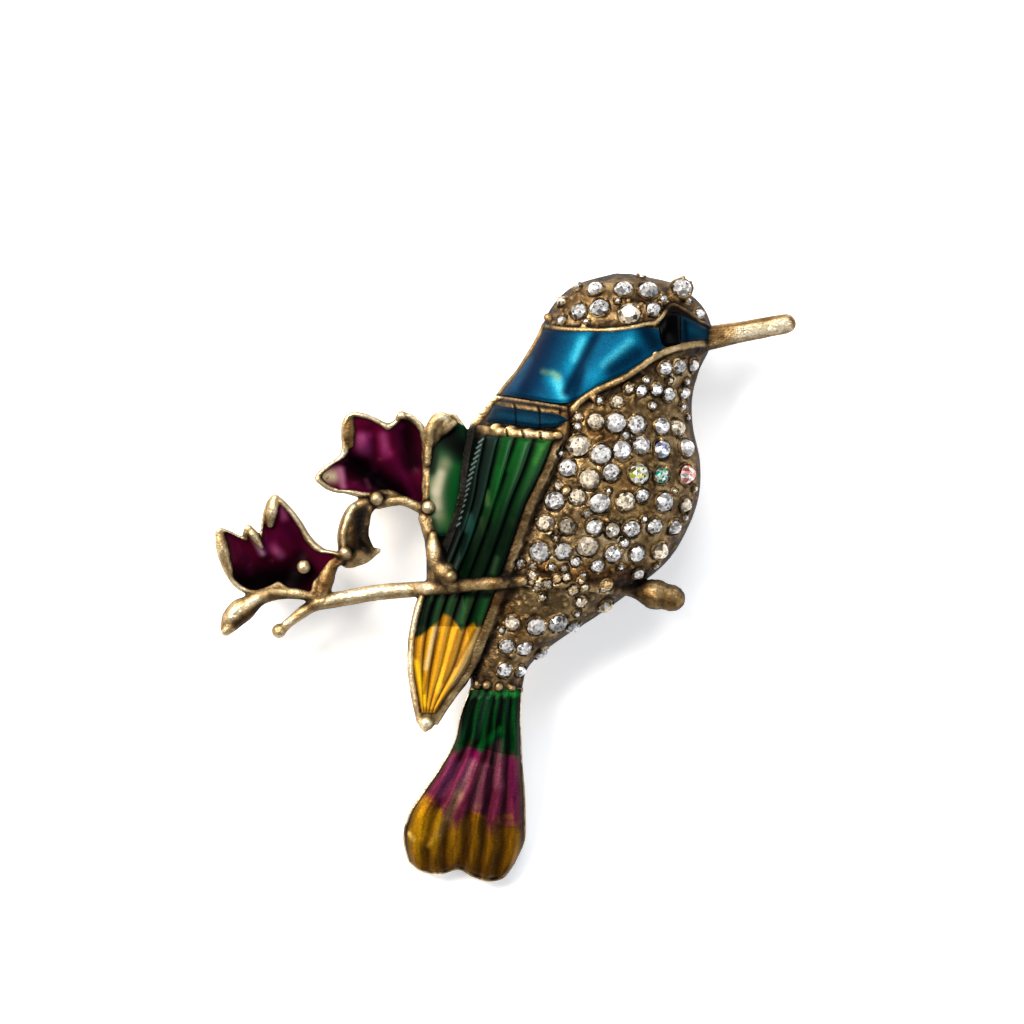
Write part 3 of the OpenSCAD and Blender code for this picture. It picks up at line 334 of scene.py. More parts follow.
def wing_rim(first, last, count, side):
    s = np.linspace(first, last, count)
    x, y = wing_xy(s, side * (1 - RIM_W / 2 / half_width(WING, WING_W, s)))
    return points(x, y, wing_base(x, y) - 0.85 * WING_DROOP)


LEAF_TOP = SHOULDER + [-0.75 * WING_W, -0.037 * WING_LEN]


def leaf_point(s, v, lift=0.0):
    a, b = at(LEAF, s, 1), at(LEAF, s, 2)
    bulge = LEAF_BULGE * (1 - v * v) * np.sin(np.pi * np.clip(s, 0.05, 0.95))
    return points(LEAF_TOP[0] + LEAF_W * mix(a, b, (v + 1) / 2), LEAF_TOP[1] - LEAF_LEN * s,
                  LEAF_LEVEL + bulge + lift)


TAIL_ROOT = on_body(-0.3625, 0.990)


def tail_xy(s, v):
    a, b = at(TAIL, s, 1), at(TAIL, s, 2)
    return (TAIL_ROOT[0] + TAIL_W * mix(a, b, (v + 1) / 2),
            TAIL_ROOT[1] - TAIL_LEN * s * mix(1, at(TAIL_LOBES, v, 1), s))


def tail_under(s):
    return -BACK_Z * at(TAIL, s, 3)


def tail_point(s, q, lift=0.0):
    """The tail's face in the scene: its ribs are a little uneven and lie lower at its root and tip"""
    v = place(q, half_width(TAIL, TAIL_W, s), RIM_W * 0.7)
    ribs = RIB_H * np.minimum(1, s * 4)
    z = (tail_under(s) + mix(TAIL_ROOT_T, TAIL_TIP_T, s) - TAIL_DROOP * np.abs(v)**3
         + ribs * (ridge(q, RIBS, RIB_PEAK) - 0.5))
    top = points(*tail_xy(s, v), z + lift)
    soft = smooth(0.0, 1.0, saw(q, SEEN_RIBS, RIB_PEAK)[0])
    top[..., 2] += ribs * (soft - ridge(q, RIBS, RIB_PEAK)) * 0.8 - 0.6 * (1 - smooth(-0.02, 0.06, s))
    return top


BRANCH_AT = on_body(*BRANCH_ON_BODY)


def branch_xy(s):
    return np.array([BRANCH_AT[0] + (s - BRANCH_CROSSING) * BRANCH_LEN,
                     BRANCH_AT[1] + BRANCH_LEN * at(BRANCH, s, 1)])


def branch_point(s):
    x, y = branch_xy(s)
    w = (SHOULDER[1] - y) / WING_LEN
    on_wing = (x > wing_xy(w, -1)[0]) & (x < wing_xy(w, 1)[0])
    under = np.where(on_wing, wing_base(x, y) + FEATHER_H, body_height(x, y) + 0.1)
    return points(x, y, np.maximum(BRANCH_LEVEL, under - BRANCH_D * at(BRANCH_SINK, s, 1)))


UPPER_ROOT, LOWER_ROOT = leaf_point(0.68, -1)[:2] - [0.1, 0], branch_xy(0.03)
UPPER_AT, LOWER_AT = UPPER_ROOT + UPPER_FLOWER_R * UPPER_MIDDLE, LOWER_ROOT + LOWER_FLOWER_R * LOWER_MIDDLE


def by_upper(across, down):
    """Place beside the upper flower's middle, in shares of its size"""
    return UPPER_AT + UPPER_FLOWER_R * np.array([across, down])


def by_lower(across, down):
    return LOWER_AT + LOWER_FLOWER_R * np.array([across, down])


# Meshes

def round_angles(count):
    return np.arange(count) * 2 * np.pi / count


def across_path(path):
    """Unit directions at right angles to a path, seen from above"""
    d = np.gradient(path[:, :2], axis=0)
    return np.stack([-d[:, 1], d[:, 0]], axis=1) / np.linalg.norm(d, axis=1, keepdims=True)


def frame_on(axis):
    """Three unit directions at right angles, the last along the axis"""
    w = axis / np.linalg.norm(axis)
    u = np.cross([0, 1, 0] if abs(w[1]) < 0.9 else [1, 0, 0], w)
    u /= np.linalg.norm(u)
    return u, np.cross(w, u), w


def circle(u, v, count):
    """Unit directions round a circle that lies along u and v"""
    angle = round_angles(count)
    return np.cos(angle)[:, None] * u + np.sin(angle)[:, None] * v


class Skin:
    """Corners and faces of closed forms, gathered for one mesh"""

    def __init__(self):
        self.corners, self.faces, self.count = [], [], 0

    def add(self, corners, faces):
        corners = np.asarray(corners, float).reshape(-1, 3)
        self.corners.append(corners)
        self.faces.extend([tuple(i + self.count for i in face) for face in faces])
        self.count += len(corners)

    def add_grid(self, top, under):
        """A closed form between two grids of points, rows running down and columns to the right.
        The under side may be a height alone"""
        if np.isscalar(under):
            under = points(top[..., 0], top[..., 1], under)
        rows, columns = top.shape[:2]
        a = np.arange(rows * columns).reshape(rows, columns)
        quads = np.stack([a[:-1, :-1], a[1:, :-1], a[1:, 1:], a[:-1, 1:]], axis=-1).reshape(-1, 4)
        lower = (quads + rows * columns)[:, ::-1]
        border = np.concatenate([a[:-1, 0], a[-1, :-1], a[:0:-1, -1], a[0, :0:-1]])
        below = border + rows * columns
        sides = np.stack([border, below, np.roll(below, -1), np.roll(border, -1)], axis=-1)
        self.add(np.concatenate([top.reshape(-1, 3), under.reshape(-1, 3)]),
                 np.concatenate([quads, lower, sides]).tolist())

    def add_rings(self, rings):
        """A closed form through rings of points, with a fan over each end"""
        rings = np.asarray(rings, float)
        n, k = rings.shape[:2]
        a = np.arange(n * k).reshape(n, k)
        b = np.roll(a, -1, axis=1)
        sides = np.stack([a[:-1], b[:-1], b[1:], a[1:]], axis=-1).reshape(-1, 4).tolist()
        ends = [(n * k, b[0, j], a[0, j]) for j in range(k)]
        ends += [(n * k + 1, a[-1, j], b[-1, j]) for j in range(k)]
        middles = [rings[0].mean(axis=0), rings[-1].mean(axis=0)]
        self.add(np.concatenate([rings.reshape(-1, 3), middles]), sides + [tuple(map(int, e)) for e in ends])

    def add_limb(self, path, radii, sides=14, flat=1.0):
        """A round limb with rounded ends along a path of points"""
        path, radii = np.asarray(path, float), np.asarray(radii, float)
        forward = np.gradient(path, axis=0)
        forward /= np.linalg.norm(forward, axis=1, keepdims=True)
        turns = np.radians([75, 50, 25])
        start = [path[0] - forward[0] * radii[0] * np.sin(t) for t in turns]
        end = [path[-1] + forward[-1] * radii[-1] * np.sin(t) for t in turns[::-1]]
        path = np.concatenate([start, path, end])
        radii = np.concatenate([radii[0] * np.cos(turns), radii, radii[-1] * np.cos(turns[::-1])])
        forward = np.concatenate([[forward[0]] * 3, forward, [forward[-1]] * 3])
        side = np.cross(forward, [0, 0, 1])
        side /= np.linalg.norm(side, axis=1, keepdims=True)
        up = np.cross(side, forward)
        angle = round_angles(sides)
        self.add_rings(path[:, None] + side[:, None] * (radii[:, None] * np.cos(angle))[..., None]
                       + up[:, None] * (radii[:, None] * np.sin(angle) * flat)[..., None])

    def add_ball(self, middle, radius, axis=(0, 0, 1), squash=1.0, sides=12, turns=8):
        """A ball, squashed along its axis"""
        u, v, w = frame_on(np.asarray(axis, float))
        self.add_rings([middle + radius * (circle(u, v, sides) * np.cos(t) + w * np.sin(t) * squash)
                        for t in np.linspace(-np.pi / 2, np.pi / 2, turns + 1)[1:-1]])

    def add_bar(self, path, width, height):
        """A raised rim with a rounded top along a path on a surface"""
        n = across_path(path) * width / 2
        rings, turns = [], np.linspace(0, np.pi, 9)
        for p, side in zip(path, n):
            foot = max(p[2] - 0.5, 0.05)
            arch = [[*(p[:2] - side * np.cos(t)), p[2] + height * np.sin(t)**0.8] for t in turns]
            rings.append(arch + [[*(p[:2] + side), foot], [*(p[:2] - side), foot]])
        self.add_rings(rings)


def make_object(name, skin, sharp=None, closed=True):
    """Object from a skin whose heights are over the casting's back face. Its faces look outwards,
    and edges of more than sharp degrees stay sharp where that is given"""
    mesh = bpy.data.meshes.new(name)
    corners = (np.concatenate(skin.corners) + [0, 0, BACK_Z]) * MM
    mesh.from_pydata(corners.tolist(), [], skin.faces)
    piece = bpy.data.objects.new(name, mesh)
    bpy.context.scene.collection.objects.link(piece)
    if closed:
        face_outwards(piece)
    if sharp:
        mesh.shade_smooth()
        mesh.set_sharp_from_angle(angle=np.radians(sharp))
    return piece


def face_outwards(piece):
    work = bmesh.new()
    work.from_mesh(piece.data)
    bmesh.ops.recalc_face_normals(work, faces=work.faces)
    work.to_mesh(piece.data)
    work.free()


def apply_modifier(piece, kind, **settings):
    """Adds one modifier with its settings and applies it to the mesh"""
    modifier = piece.modifiers.new(kind.lower(), kind)
    for name, value in settings.items():
        setattr(modifier, name, value)
    with bpy.context.temp_override(object=piece, active_object=piece, selected_objects=[piece]):
        bpy.ops.object.modifier_apply(modifier=modifier.name)


def read_corners(piece, name):
    """The places or normals of a mesh's corners: name is co or normal"""
    values = np.empty(len(piece.data.vertices) * 3)
    piece.data.vertices.foreach_get(name, values)
    return values.reshape(-1, 3)


def corners_of(piece):
    return read_corners(piece, "co") / MM - [0, 0, BACK_Z]


def set_wear_and_shade(piece, values):
    layer = piece.data.attributes.new("wear_and_shade", "FLOAT", "POINT")
    layer.data.foreach_set("value", np.clip(values, 0, 1).astype(np.float32))


def set_tint(piece, values):
    layer = piece.data.attributes.new("tint", "FLOAT_COLOR", "POINT")
    filled = np.ones((len(values), 4), np.float32)
    filled[:, :3] = values
    layer.data.foreach_set("color", filled.ravel())


def dress(piece, node, material):
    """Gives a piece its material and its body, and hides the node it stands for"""
    piece.data.materials.clear()
    piece.data.materials.append(material)
    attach(piece, "root")
    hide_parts(node)


# Materials

def new_material(name, **constants):
    """A material with one shader whose sockets are set from constants"""
    material = bpy.data.materials.new(name)
    material.use_nodes = True
    tree = material.node_tree
    shader = tree.nodes["Principled BSDF"]
    for socket, value in constants.items():
        shader.inputs[socket.replace("_", " ")].default_value = value
    return material, tree, shader


def node(tree, kind, inputs, **settings):
    """Adds a node. Its inputs are numbers or the sockets of other nodes"""
    made = tree.nodes.new("ShaderNode" + kind)
    for name, value in settings.items():
        setattr(made, name, value)
    connect(tree, made, inputs)
    return made


def connect(tree, made, inputs):
    for name, value in inputs.items():
        if isinstance(value, bpy.types.NodeSocket):
            tree.links.new(value, made.inputs[name])
        else:
            made.inputs[name].default_value = value


def noise(tree, feature, detail=3.0):
    """Noise in the piece's own coordinates, with features about that many mm wide"""
    where = node(tree, "TexCoord", {}).outputs["Object"]
    inputs = {"Vector": where, "Scale": 1 / (feature * MM), "Detail": detail}
    return node(tree, "TexNoise", inputs).outputs["Fac"]


def attribute(tree, name, socket):
    return node(tree, "Attribute", {}, attribute_name=name).outputs[socket]


def spread(tree, value, low, high, first, last):
    """A number moved from one range to another"""
    return node(tree, "MapRange", {"Value": value, "From Min": low, "From Max": high, "To Min": first,
                                   "To Max": last}).outputs["Result"]


def ramp(tree, factor, stops):
    """Colour ramp from (place, hex colour) stops"""
    made = node(tree, "ValToRGB", {"Fac": factor})
    elements = made.color_ramp.elements
    while len(elements) < len(stops):
        elements.new(0.5)
    for element, (at_place, code) in zip(elements, stops):
        element.position, element.color = at_place, (*colour(code), 1)
    return made.outputs["Color"]


def multiply(tree, a, b):
    return node(tree, "Mix", {0: 1.0, 6: a, 7: b}, data_type="RGBA", blend_type="MULTIPLY").outputs[2]


def bump(tree, height, distance, **under):
    """Normal of a bump whose full height is distance mm"""
    inputs = {"Height": height, "Distance": distance * MM, "Strength": 1.0, **under}
    return node(tree, "Bump", inputs).outputs[0]


def gilt_material(name, stops, rough, grain, stained_and_shaded=False):
    """Antique gilt: brown in the hollows and pale on the ridges, with the fine grain of a casting.
    The level that sets its colour also carries painted light and shade, and where the piece carries
    tints, their stains and painted shade are multiplied in"""
    material, tree, shader = new_material(name, Metallic=0.82)
    patches = spread(tree, noise(tree, 1.6), 0.3, 0.7, -0.12, 0.12)
    rubbing_and_light = node(tree, "Math", {0: attribute(tree, "wear_and_shade", "Fac"), 1: patches}, operation="ADD").outputs[0]
    fine = noise(tree, 0.16, 4.0)
    shown = multiply(tree, ramp(tree, rubbing_and_light, stops), spread(tree, fine, 0.3, 0.75, 0.72, 1.18))
    if stained_and_shaded:
        shown = multiply(tree, shown, attribute(tree, "tint", "Color"))
    rough_cast = bump(tree, noise(tree, 0.45, 2.0), grain * 1.6)
    connect(tree, shader, {"Base Color": shown, "Roughness": spread(tree, rubbing_and_light, 0, 1, *rough),
                           "Normal": bump(tree, fine, grain, Normal=rough_cast)})
    return material


def enamel_material(name, metallic, roughness, sparkle, flake=0.11, coat=0.03, shine=0.08):
    """Translucent enamel over textured metal: a painted tint, which carries painted highlights and shade,
    with metallic specks under a clear coat
    """
    material, tree, shader = new_material(name, Metallic=metallic, Coat_Weight=coat, Coat_Roughness=0.3,
                                          Specular_IOR_Level=shine)
    flakes = noise(tree, flake, 2.0)
    glint = spread(tree, flakes, 0.35, 0.72, 1 - sparkle, 1 + 1.6 * sparkle)
    gloss = spread(tree, noise(tree, 0.9), 0.3, 0.7, roughness - 0.06, roughness + 0.06)
    connect(tree, shader, {"Base Color": multiply(tree, attribute(tree, "tint", "Color"), glint),
                           "Roughness": gloss, "Normal": bump(tree, flakes, 0.1 * sparkle)})
    return material


def stone_material():
    """Foil-backed cut glass under a polished surface: each facet's tint is a painted reflection, and the
    facets glow with it as painted light
    """
    material, tree, shader = new_material("cut_stone", Metallic=0.3, IOR=1.6, Coat_Weight=0.6,
                                          Coat_Roughness=0.04, Emission_Strength=0.35)
    depths = noise(tree, 0.35, 2.0)
    shown = multiply(tree, attribute(tree, "tint", "Color"), spread(tree, depths, 0.35, 0.62, 0.62, 1.05))
    # Painted light: the facets glow with the square of their tint, so the brightest facets glow most
    connect(tree, shader, {"Base Color": shown, "Emission Color": multiply(tree, shown, shown),
                           "Roughness": spread(tree, depths, 0, 1, 0.1, 0.24)})
    return material


GILT_STOPS = [(0, "#130c06"), (0.28, "#3a2a18"), (0.5, "#7c6440"), (0.72, "#bfa475"), (1, "#fff0cc")]
FIELD_STOPS = [(0, "#130c06"), (0.35, "#40301c"), (0.6, "#7a6240"), (0.82, "#b89f72"), (1, "#fbeac4")]
PIN_STOPS = [(0, "#5a3d1a"), (0.5, "#c9a868"), (1, "#f0dcae")]
GILT = gilt_material("antique_gilt", GILT_STOPS, (0.62, 0.36), 0.06, stained_and_shaded=True)
FIELD_GILT = gilt_material("stone_field_gilt", FIELD_STOPS, (0.6, 0.36), 0.05)


# Stones

# The stones on the branch, from this height down, look warm
WARM_BELOW = on_body(0, 0.722)[1]


def path_on_body(table, count):
    rows = [[i, *row] for i, row in enumerate(table)]
    t = np.linspace(0, len(table) - 1, count)
    return on_dome(*on_body(at(rows, t, 1), at(rows, t, 2)))


THROAT_LINE = path_on_body(THROAT_RIM, 30)[::-1, :2].T
CROWN_LINE = path_on_body([*CROWN_RIM, *BROW_RIM[1:]], 30)[:, :2].T


def field_at(x, y, margin):
    """Name of the stone field that a place on the body is in, at least a margin from its borders"""
    wing_share = np.clip((SHOULDER[1] - y) / WING_LEN, 0, 1)
    if not body_edge(y, 1) + margin < x < body_edge(y, 2) - margin:
        return ""
    if y > np.interp(x, *CROWN_LINE) + 0.2 + margin:
        return "crown"
    if x > wing_xy(wing_share, 1)[0] + 0.1 + margin and y < np.interp(x, *THROAT_LINE) - 0.3 - margin:
        return "breast" if y > WARM_BELOW else "vent"
    return ""


def small_stones(stones, field, count, seed):
    """Small stones in the gaps that the others of a field leave"""
    dice = np.random.default_rng(seed)
    found = list(stones)
    for _ in range(6000):
        xy = np.array(on_body(dice.uniform(-0.5, 0.5), dice.uniform(0.01, 0.93)))
        d = dice.uniform(0.5, 0.95)
        clear = all(np.linalg.norm(xy - other) > (d + e) / 2 + 0.1 for other, e in found)
        if clear and len(found) < len(stones) + count and field_at(*xy, d / 2 + 0.15) == field:
            found.append((xy, d))
    return found


def stone_places(rows):
    """Middles and diameters of the stones in a table of rows, as the part's source works them out"""
    found = []
    for i, (down, first, last, count, share) in enumerate(rows):
        for k in range(count):
            t = k / (count - 1) if count > 1 else 0.5
            sway = 0.004 * np.sin(np.radians(137 * (7 * i + k)))
            drift = 0.0045 * np.sin(np.radians(211 * (5 * i + k)))
            size = STONE_D * share * (1 + 0.06 * np.sin(np.radians(97 * (3 * i + k))))
            found.append((on_body(mix(first, last, t) + sway, down + drift), size))
    return found


def jostled(stones, seed):
    """The stones with uneven sizes and places, kept clear of each other and near their nodes"""
    dice = np.random.default_rng(seed)
    start = np.array([middle for middle, d in stones])
    sizes = np.array([d for middle, d in stones]) * dice.uniform(0.8, 1.14, len(stones))
    xy = start + dice.normal(0, 0.3, start.shape)
    for _ in range(80):
        high = on_dome(xy[:, 0], xy[:, 1])
        gap = high[:, None] - high[None]
        far = np.linalg.norm(gap, axis=-1) + 10 * np.eye(len(stones))
        need = (sizes[:, None] + sizes[None]) / 2 + 0.14
        push = np.clip(need - far, 0, None) / far
        xy = xy + 0.5 * (push[..., None] * gap[..., :2]).sum(axis=1)
        drift = xy - start
        reach = np.linalg.norm(drift, axis=1, keepdims=True)
        xy = start + drift * np.minimum(1, 0.45 / np.maximum(reach, 1e-9))
    for column, side in ((1, 1), (2, -1)):
        room = side * (start[:, 0] - body_edge(start[:, 1], column))
        now = side * (xy[:, 0] - body_edge(xy[:, 1], column))
        xy[:, 0] += side * np.maximum(0, np.minimum(room, 0.9) - now)
    return list(zip(xy, sizes))


def brilliant(d):
    """Corners and faces of a round cut stone of diameter d, its girdle at height 0.
    Its table is parted as the facets under it show"""
    r, high, deep, half_turn = d / 2, CROWN_SHARE * d, SEAT_DEPTH - FIT_GAP, np.pi / 4 / 2

    def ring(radius, z, turn=0, count=8):
        angle = turn + round_angles(count)
        return points(radius * np.cos(angle), radius * np.sin(angle), z)

    corners = np.concatenate([
        ring(TABLE_SHARE * r, high, half_turn), ring(0.81 * r, 0.5 * high), ring(r, 0.02, 0, 16),
        ring(r, -0.03, 0, 16), ring(0.42 * r, -0.62 * deep, half_turn), [[0, 0, -deep]],
        ring(0.3 * r, high + 0.01), [[0, 0, high + 0.01]],
    ])
    table, star, girdle, low, belly, point, inner, middle = 0, 8, 16, 32, 48, 56, 57, 65
    faces = []
    for i in range(8):
        j, k, m = (i + 1) % 8, 2 * i, (2 * i + 2) % 16
        faces += [
            (middle, inner + i, inner + j), (inner + i, table + i, inner + j),
            (inner + j, table + i, table + j), (table + i, star + j, table + j),
            (table + i, star + i, girdle + k + 1, star + j), (star + i, girdle + k, girdle + k + 1),
            (star + j, girdle + k + 1, girdle + m), (low + k, belly + i, low + k + 1),
            (low + k + 1, belly + i, low + m), (low + m, belly + i, belly + j), (belly + i, point, belly + j),
        ]
    for k in range(16):
        m = (k + 1) % 16
        faces.append((girdle + k, low + k, low + m, girdle + m))
    return corners, faces


# Painted coloured flashes on some facets of the stones below
# Stones that show a colour in the photograph: pixel, reach in pixels, hex colour
COLOURED_LIGHTS = [
    (636, 481, 9, "#e8f060"), (657, 480, 9, "#20e0b0"), (670, 451, 9, "#9fb4ff"), (678, 468, 9, "#8f86f0"),
    (694, 469, 10, "#ff9a8a"), (660, 520, 8, "#cfe0ff"),
]

# Painted reflections: how brightly the facets of a stone are painted, and the odds of each on its table and
# beside it
FACET_LIGHTS = [0.84, 0.52, 0.28, 0.12]
TABLE_ODDS, SIDE_ODDS = [0.58, 0.24, 0.12, 0.06], [0.3, 0.3, 0.26, 0.14]

# A stone that stands up at the crown's outline: its place, its diameter in mm, and what it leans on
STANDING_AT, STANDING_D, LEANS_ON = spot(682, 288), 1.75, spot(673, 297)


def stone_field(name, rows, extra, seed):
    """Makes the cut stones of one field, and says where they sit"""
    dice = np.random.default_rng(seed)
    skin, tints, seats = Skin(), [], []
    stones = small_stones(jostled(stone_places(rows), seed), name, extra, seed)
    standing = np.argmin([np.linalg.norm(middle - STANDING_AT) for middle, d in stones])
    for number, (middle, d) in enumerate(stones):
        x, y = middle
        normal, high = body_normal(x, y), body_height(x, y)
        stands = name == "crown" and number == standing
        if stands:
            (x, y), d = STANDING_AT, STANDING_D
            normal, high = np.array([0.2, 0.3, 0.93]), body_height(*LEANS_ON)
        u, v, w = frame_on(normal + dice.normal(0, 0.12, 3) * [1, 1, 0])
        turn = dice.uniform(0, np.pi / 4)
        e1, e2 = u * np.cos(turn) + v * np.sin(turn), v * np.cos(turn) - u * np.sin(turn)
        base = points(x, y, high) + normal * GIRDLE_LIFT
        corners, faces = brilliant(d)
        long, wide = dice.uniform(0.94, 1.06), dice.uniform(0.86, 1.0)
        placed = base + corners[:, :1] * e1 * long + corners[:, 1:2] * e2 * wide + corners[:, 2:] * w
        tone = colour(dice.choice(["#ffffff", "#f4f4f4", "#fff2dc"]))
        tone = tone * dice.choice([1.0, 0.8, 0.6], p=[0.65, 0.2, 0.15])
        flash = next((colour(code) for px, py, reach, code in COLOURED_LIGHTS
                      if np.linalg.norm(middle - spot(px, py)) < reach * PIXEL), tone)
        if WARM_BELOW - 3.2 < middle[1] < WARM_BELOW:
            tone = tone * colour("#f2d9a6")
        if stands:
            tone = flash = colour("#ffffff")
        # Each facet gets a painted reflection: its stone's tone, or on about two facets in five its coloured
        # flash, times a painted brightness
        for face in faces:
            skin.add(placed[list(face)], [tuple(range(len(face)))])
            on_table = corners[list(face), 2].mean() > 0.8 * CROWN_SHARE * d
            light = dice.choice(FACET_LIGHTS, p=TABLE_ODDS if on_table else SIDE_ODDS)
            shown = flash if dice.random() < 0.4 else tone
            tints.append(np.tile(shown * light, (len(face), 1)))
        seats.append((base, normal, d))
    piece = make_object(name + "_brilliants", skin, closed=False)
    set_tint(piece, np.concatenate(tints))
    dress(piece, name + "_stones", CUT_STONE)
    return seats


CUT_STONE = stone_material()
ALL_SEATS = []
for field in (("crown", CROWN_ROWS, 7, 3), ("breast", BREAST_ROWS, 30, 5), ("vent", VENT_ROWS, 8, 8)):
    ALL_SEATS += stone_field(*field)


# The casting

VOXEL = 0.13
CAST_TRIANGLES = 185000
GRAIN_COUNT, GRAIN_SEED = 260, 21
# Squash, sides and turns of a grain
GRAIN = (0.7, 8, 6)


def dome_skin(inset, under, first=0.0, last=1.0, rows=110, columns=70):
    """The body's dome, shrunk by inset"""
    s = mix(first, last, np.linspace(0, 1, rows)**1.2)[:, None]
    turn = np.linspace(0, np.pi, columns)[None]
    y = CROWN_Y - s * BODY_LEN
    x = mix(body_edge(y, 1) + inset, body_edge(y, 2) - inset, (1 - np.cos(turn)) / 2)
    z = np.maximum(BODY_RISE * at(BODY, s, 3) - inset, 0.15) * np.sin(turn)
    skin = Skin()
    skin.add_grid(points(x, y, np.maximum(z, under + 0.12)), under)
    return skin


def edged(point, outline, s, q, share):
    """Grid on a surface whose outermost columns, past a share of its width, lie on an outline"""
    top = point(s, np.sign(q) * np.minimum(1, np.abs(q) / share))
    for k in range(2):
        top[..., k] = np.where(np.abs(q) > share, outline[k], top[..., k])
    return top


def flower_form(middle, outline, reach, folds):
    """Function from an angle, a share of the reach, an inset and a lift to a point of the flower's face"""
    def form(angle, share, inset, lift):
        round_outline = np.mod(angle - outline[0][0], 360) + outline[0][0]
        full = at(outline, round_outline, 1) * reach
        r = np.maximum(full - inset, 0.3) * share
        turn = np.radians(angle)
        face = points(middle[0] + r * np.cos(turn), middle[1] + r * np.sin(turn), 0)
        z = FLOWER_FLOOR + FLOWER_LIFT * at(outline, round_outline, 2) * (r / full)**2 + lift
        face[..., 2] = np.maximum(lifted(z, face, folds), 0.5)
        return face
    return form


# Folds of the petals. Columns: first and last pixel, width in pixels, height in mm
UPPER_FOLDS = [
    (350, 460, 406, 500, 7, -0.34), (361, 426, 361, 456, 8, 0.26), (385, 428, 390, 458, 7, 0.22),
    (373, 430, 376, 456, 5, -0.14), (406, 424, 411, 466, 8, -0.26), (397, 456, 415, 498, 7, 0.26),
    (328, 474, 362, 488, 8, 0.14),
]
LOWER_FOLDS = [
    (251, 529, 263, 555, 5, 0.34), (282, 504, 277, 554, 9, 0.24), (267, 530, 270, 558, 4, -0.2),
    (240, 536, 247, 562, 5, -0.16), (300, 545, 284, 580, 10, -0.24), (304, 562, 322, 572, 6, 0.12),
]
UPPER_FORM = flower_form(UPPER_AT, UPPER_FLOWER, UPPER_FLOWER_R, UPPER_FOLDS)
LOWER_FORM = flower_form(LOWER_AT, LOWER_FLOWER, LOWER_FLOWER_R, LOWER_FOLDS)


def add_flower_metal(skin, form):
    angle = np.linspace(-180, 180, 180, endpoint=False)
    # Columns: share of the reach, inset in mm, height over the floor
    profile = [[0.02, 0, 0], [0.3, 0, 0], [0.6, 0, 0], [0.85, RIM_W, 0], [1, RIM_W, 0],
               [1, RIM_W * 0.9, RIM_H * 0.75], [1, RIM_W * 0.65, RIM_H], [1, RIM_W * 0.35, RIM_H],
               [1, RIM_W * 0.1, RIM_H * 0.6], [1, 0, 0]]
    under = [form(angle, share, 0, 0) * [1, 1, 0] + [0, 0, 0.1] for share in (1, 0.3)]
    skin.add_rings([form(angle, *row) for row in profile] + under)


def add_beak(skin):
    root = on_body(0.5, 0.158)
    turn = np.radians(10.5)
    along = np.array([np.cos(turn), np.sin(turn)])
    side = np.array([-along[1], along[0]])
    end = BODY_W * 0.06 + BEAK_LEN
    t = np.concatenate([np.linspace(-0.9, end, 26), end + BEAK_TIP_W / 2 * np.array([0.3, 0.6, 0.85, 0.97])])
    past = np.clip((t - end) / (BEAK_TIP_W / 2), 0, 1)
    half = np.interp(t, [0, end * 0.42, end], [BEAK_ROOT_W / 2, BEAK_ROOT_W * 0.43, BEAK_TIP_W / 2])
    half = half * np.sqrt(np.clip(1 - past**2, 0.03, 1))
    top = 0.5 + BEAK_T * np.interp(t, [0, 1.9, 2.3, end, end + 1], [0.9, 0.93, 1.0, 0.96, 0.9])
    rings = []
    for ti, h, z in zip(t, half, top):
        bevel = min(0.38, h * 0.6)
        shape = [(-h, 0.5), (-h, z - bevel), (-h + bevel, z), (0, z + 0.03), (h - bevel, z), (h, z - bevel),
                 (h, 0.5)]
        rings.append([[*(root + along * ti + side * w), high] for w, high in shape])
    skin.add_rings(np.array(rings)[:, ::-1])


# Rolled metal tips of the petals: path of pixels, radii in pixels, and height of the middle in mm
ROLLED_TIPS = [
    ([(220, 534), (222, 548), (226, 562), (231, 576)], [5, 6.5, 5.5, 3], [2.4, 2.3, 2.1, 1.8]),
    ([(248, 528), (254, 536), (261, 547)], [4, 5, 2.5], [2.5, 2.4, 2.1]),
    ([(275, 499), (272, 511), (270, 524)], [5, 6, 4], [2.6, 2.6, 2.2]),
    ([(321, 477), (326, 477), (332, 478)], [5, 7, 4], [1.9, 1.8, 1.6]),
    ([(350, 418), (349, 430), (350, 444)], [5, 6.5, 4], [2.3, 2.2, 1.9]),
    ([(430, 446), (431, 432), (436, 421), (444, 418), (451, 424)],
     [4, 6, 7, 6, 4], [1.9, 2.1, 2.2, 2.1, 1.9]),
    ([(398, 418), (402, 415), (407, 418)], [3, 4.5, 3], [2.2, 2.3, 2.1]),
    ([(433, 444), (438, 430), (445, 421)], [4, 8, 7], [1.7, 1.9, 2]),
    ([(437, 434), (446, 427), (452, 424)], [6, 7, 5], [1.8, 2, 2]),
    ([(341, 556), (331, 566), (325, 580), (321, 594)], [5, 7, 9, 8], [1.5, 1.3, 1.3, 1.3]),
    ([(354, 507), (347, 520), (343, 536), (345, 553)], [4, 3.5, 3.5, 3.5], [1.7, 1.9, 1.9, 1.7]),
    ([(369, 508), (366, 522), (364, 537), (370, 549)], [3.5, 4, 5, 4], [1.7, 1.8, 1.6, 1.4]),
    ([(433, 536), (434, 549), (438, 562)], [5, 9, 11], [2.4, 2.5, 2.4]),
    ([(437, 562), (445, 574), (452, 584)], [10, 13, 11], [2.4, 2.6, 2.8]),
    ([(226, 627), (231, 620), (240, 609), (252, 601)], [7, 11, 11, 6], [1.2, 1.3, 1.5, 1.5]),
]


def add_rolled_tips(skin):
    for pixels, radii, heights in ROLLED_TIPS:
        steps = enumerate(zip(pixels, radii, heights))
        rows = [[k, *spot(*pixel), r * PIXEL, z] for k, (pixel, r, z) in steps]
        fine = np.linspace(0, len(pixels) - 1, 16)
        skin.add_limb(points(at(rows, fine, 1), at(rows, fine, 2), at(rows, fine, 4)), at(rows, fine, 3))


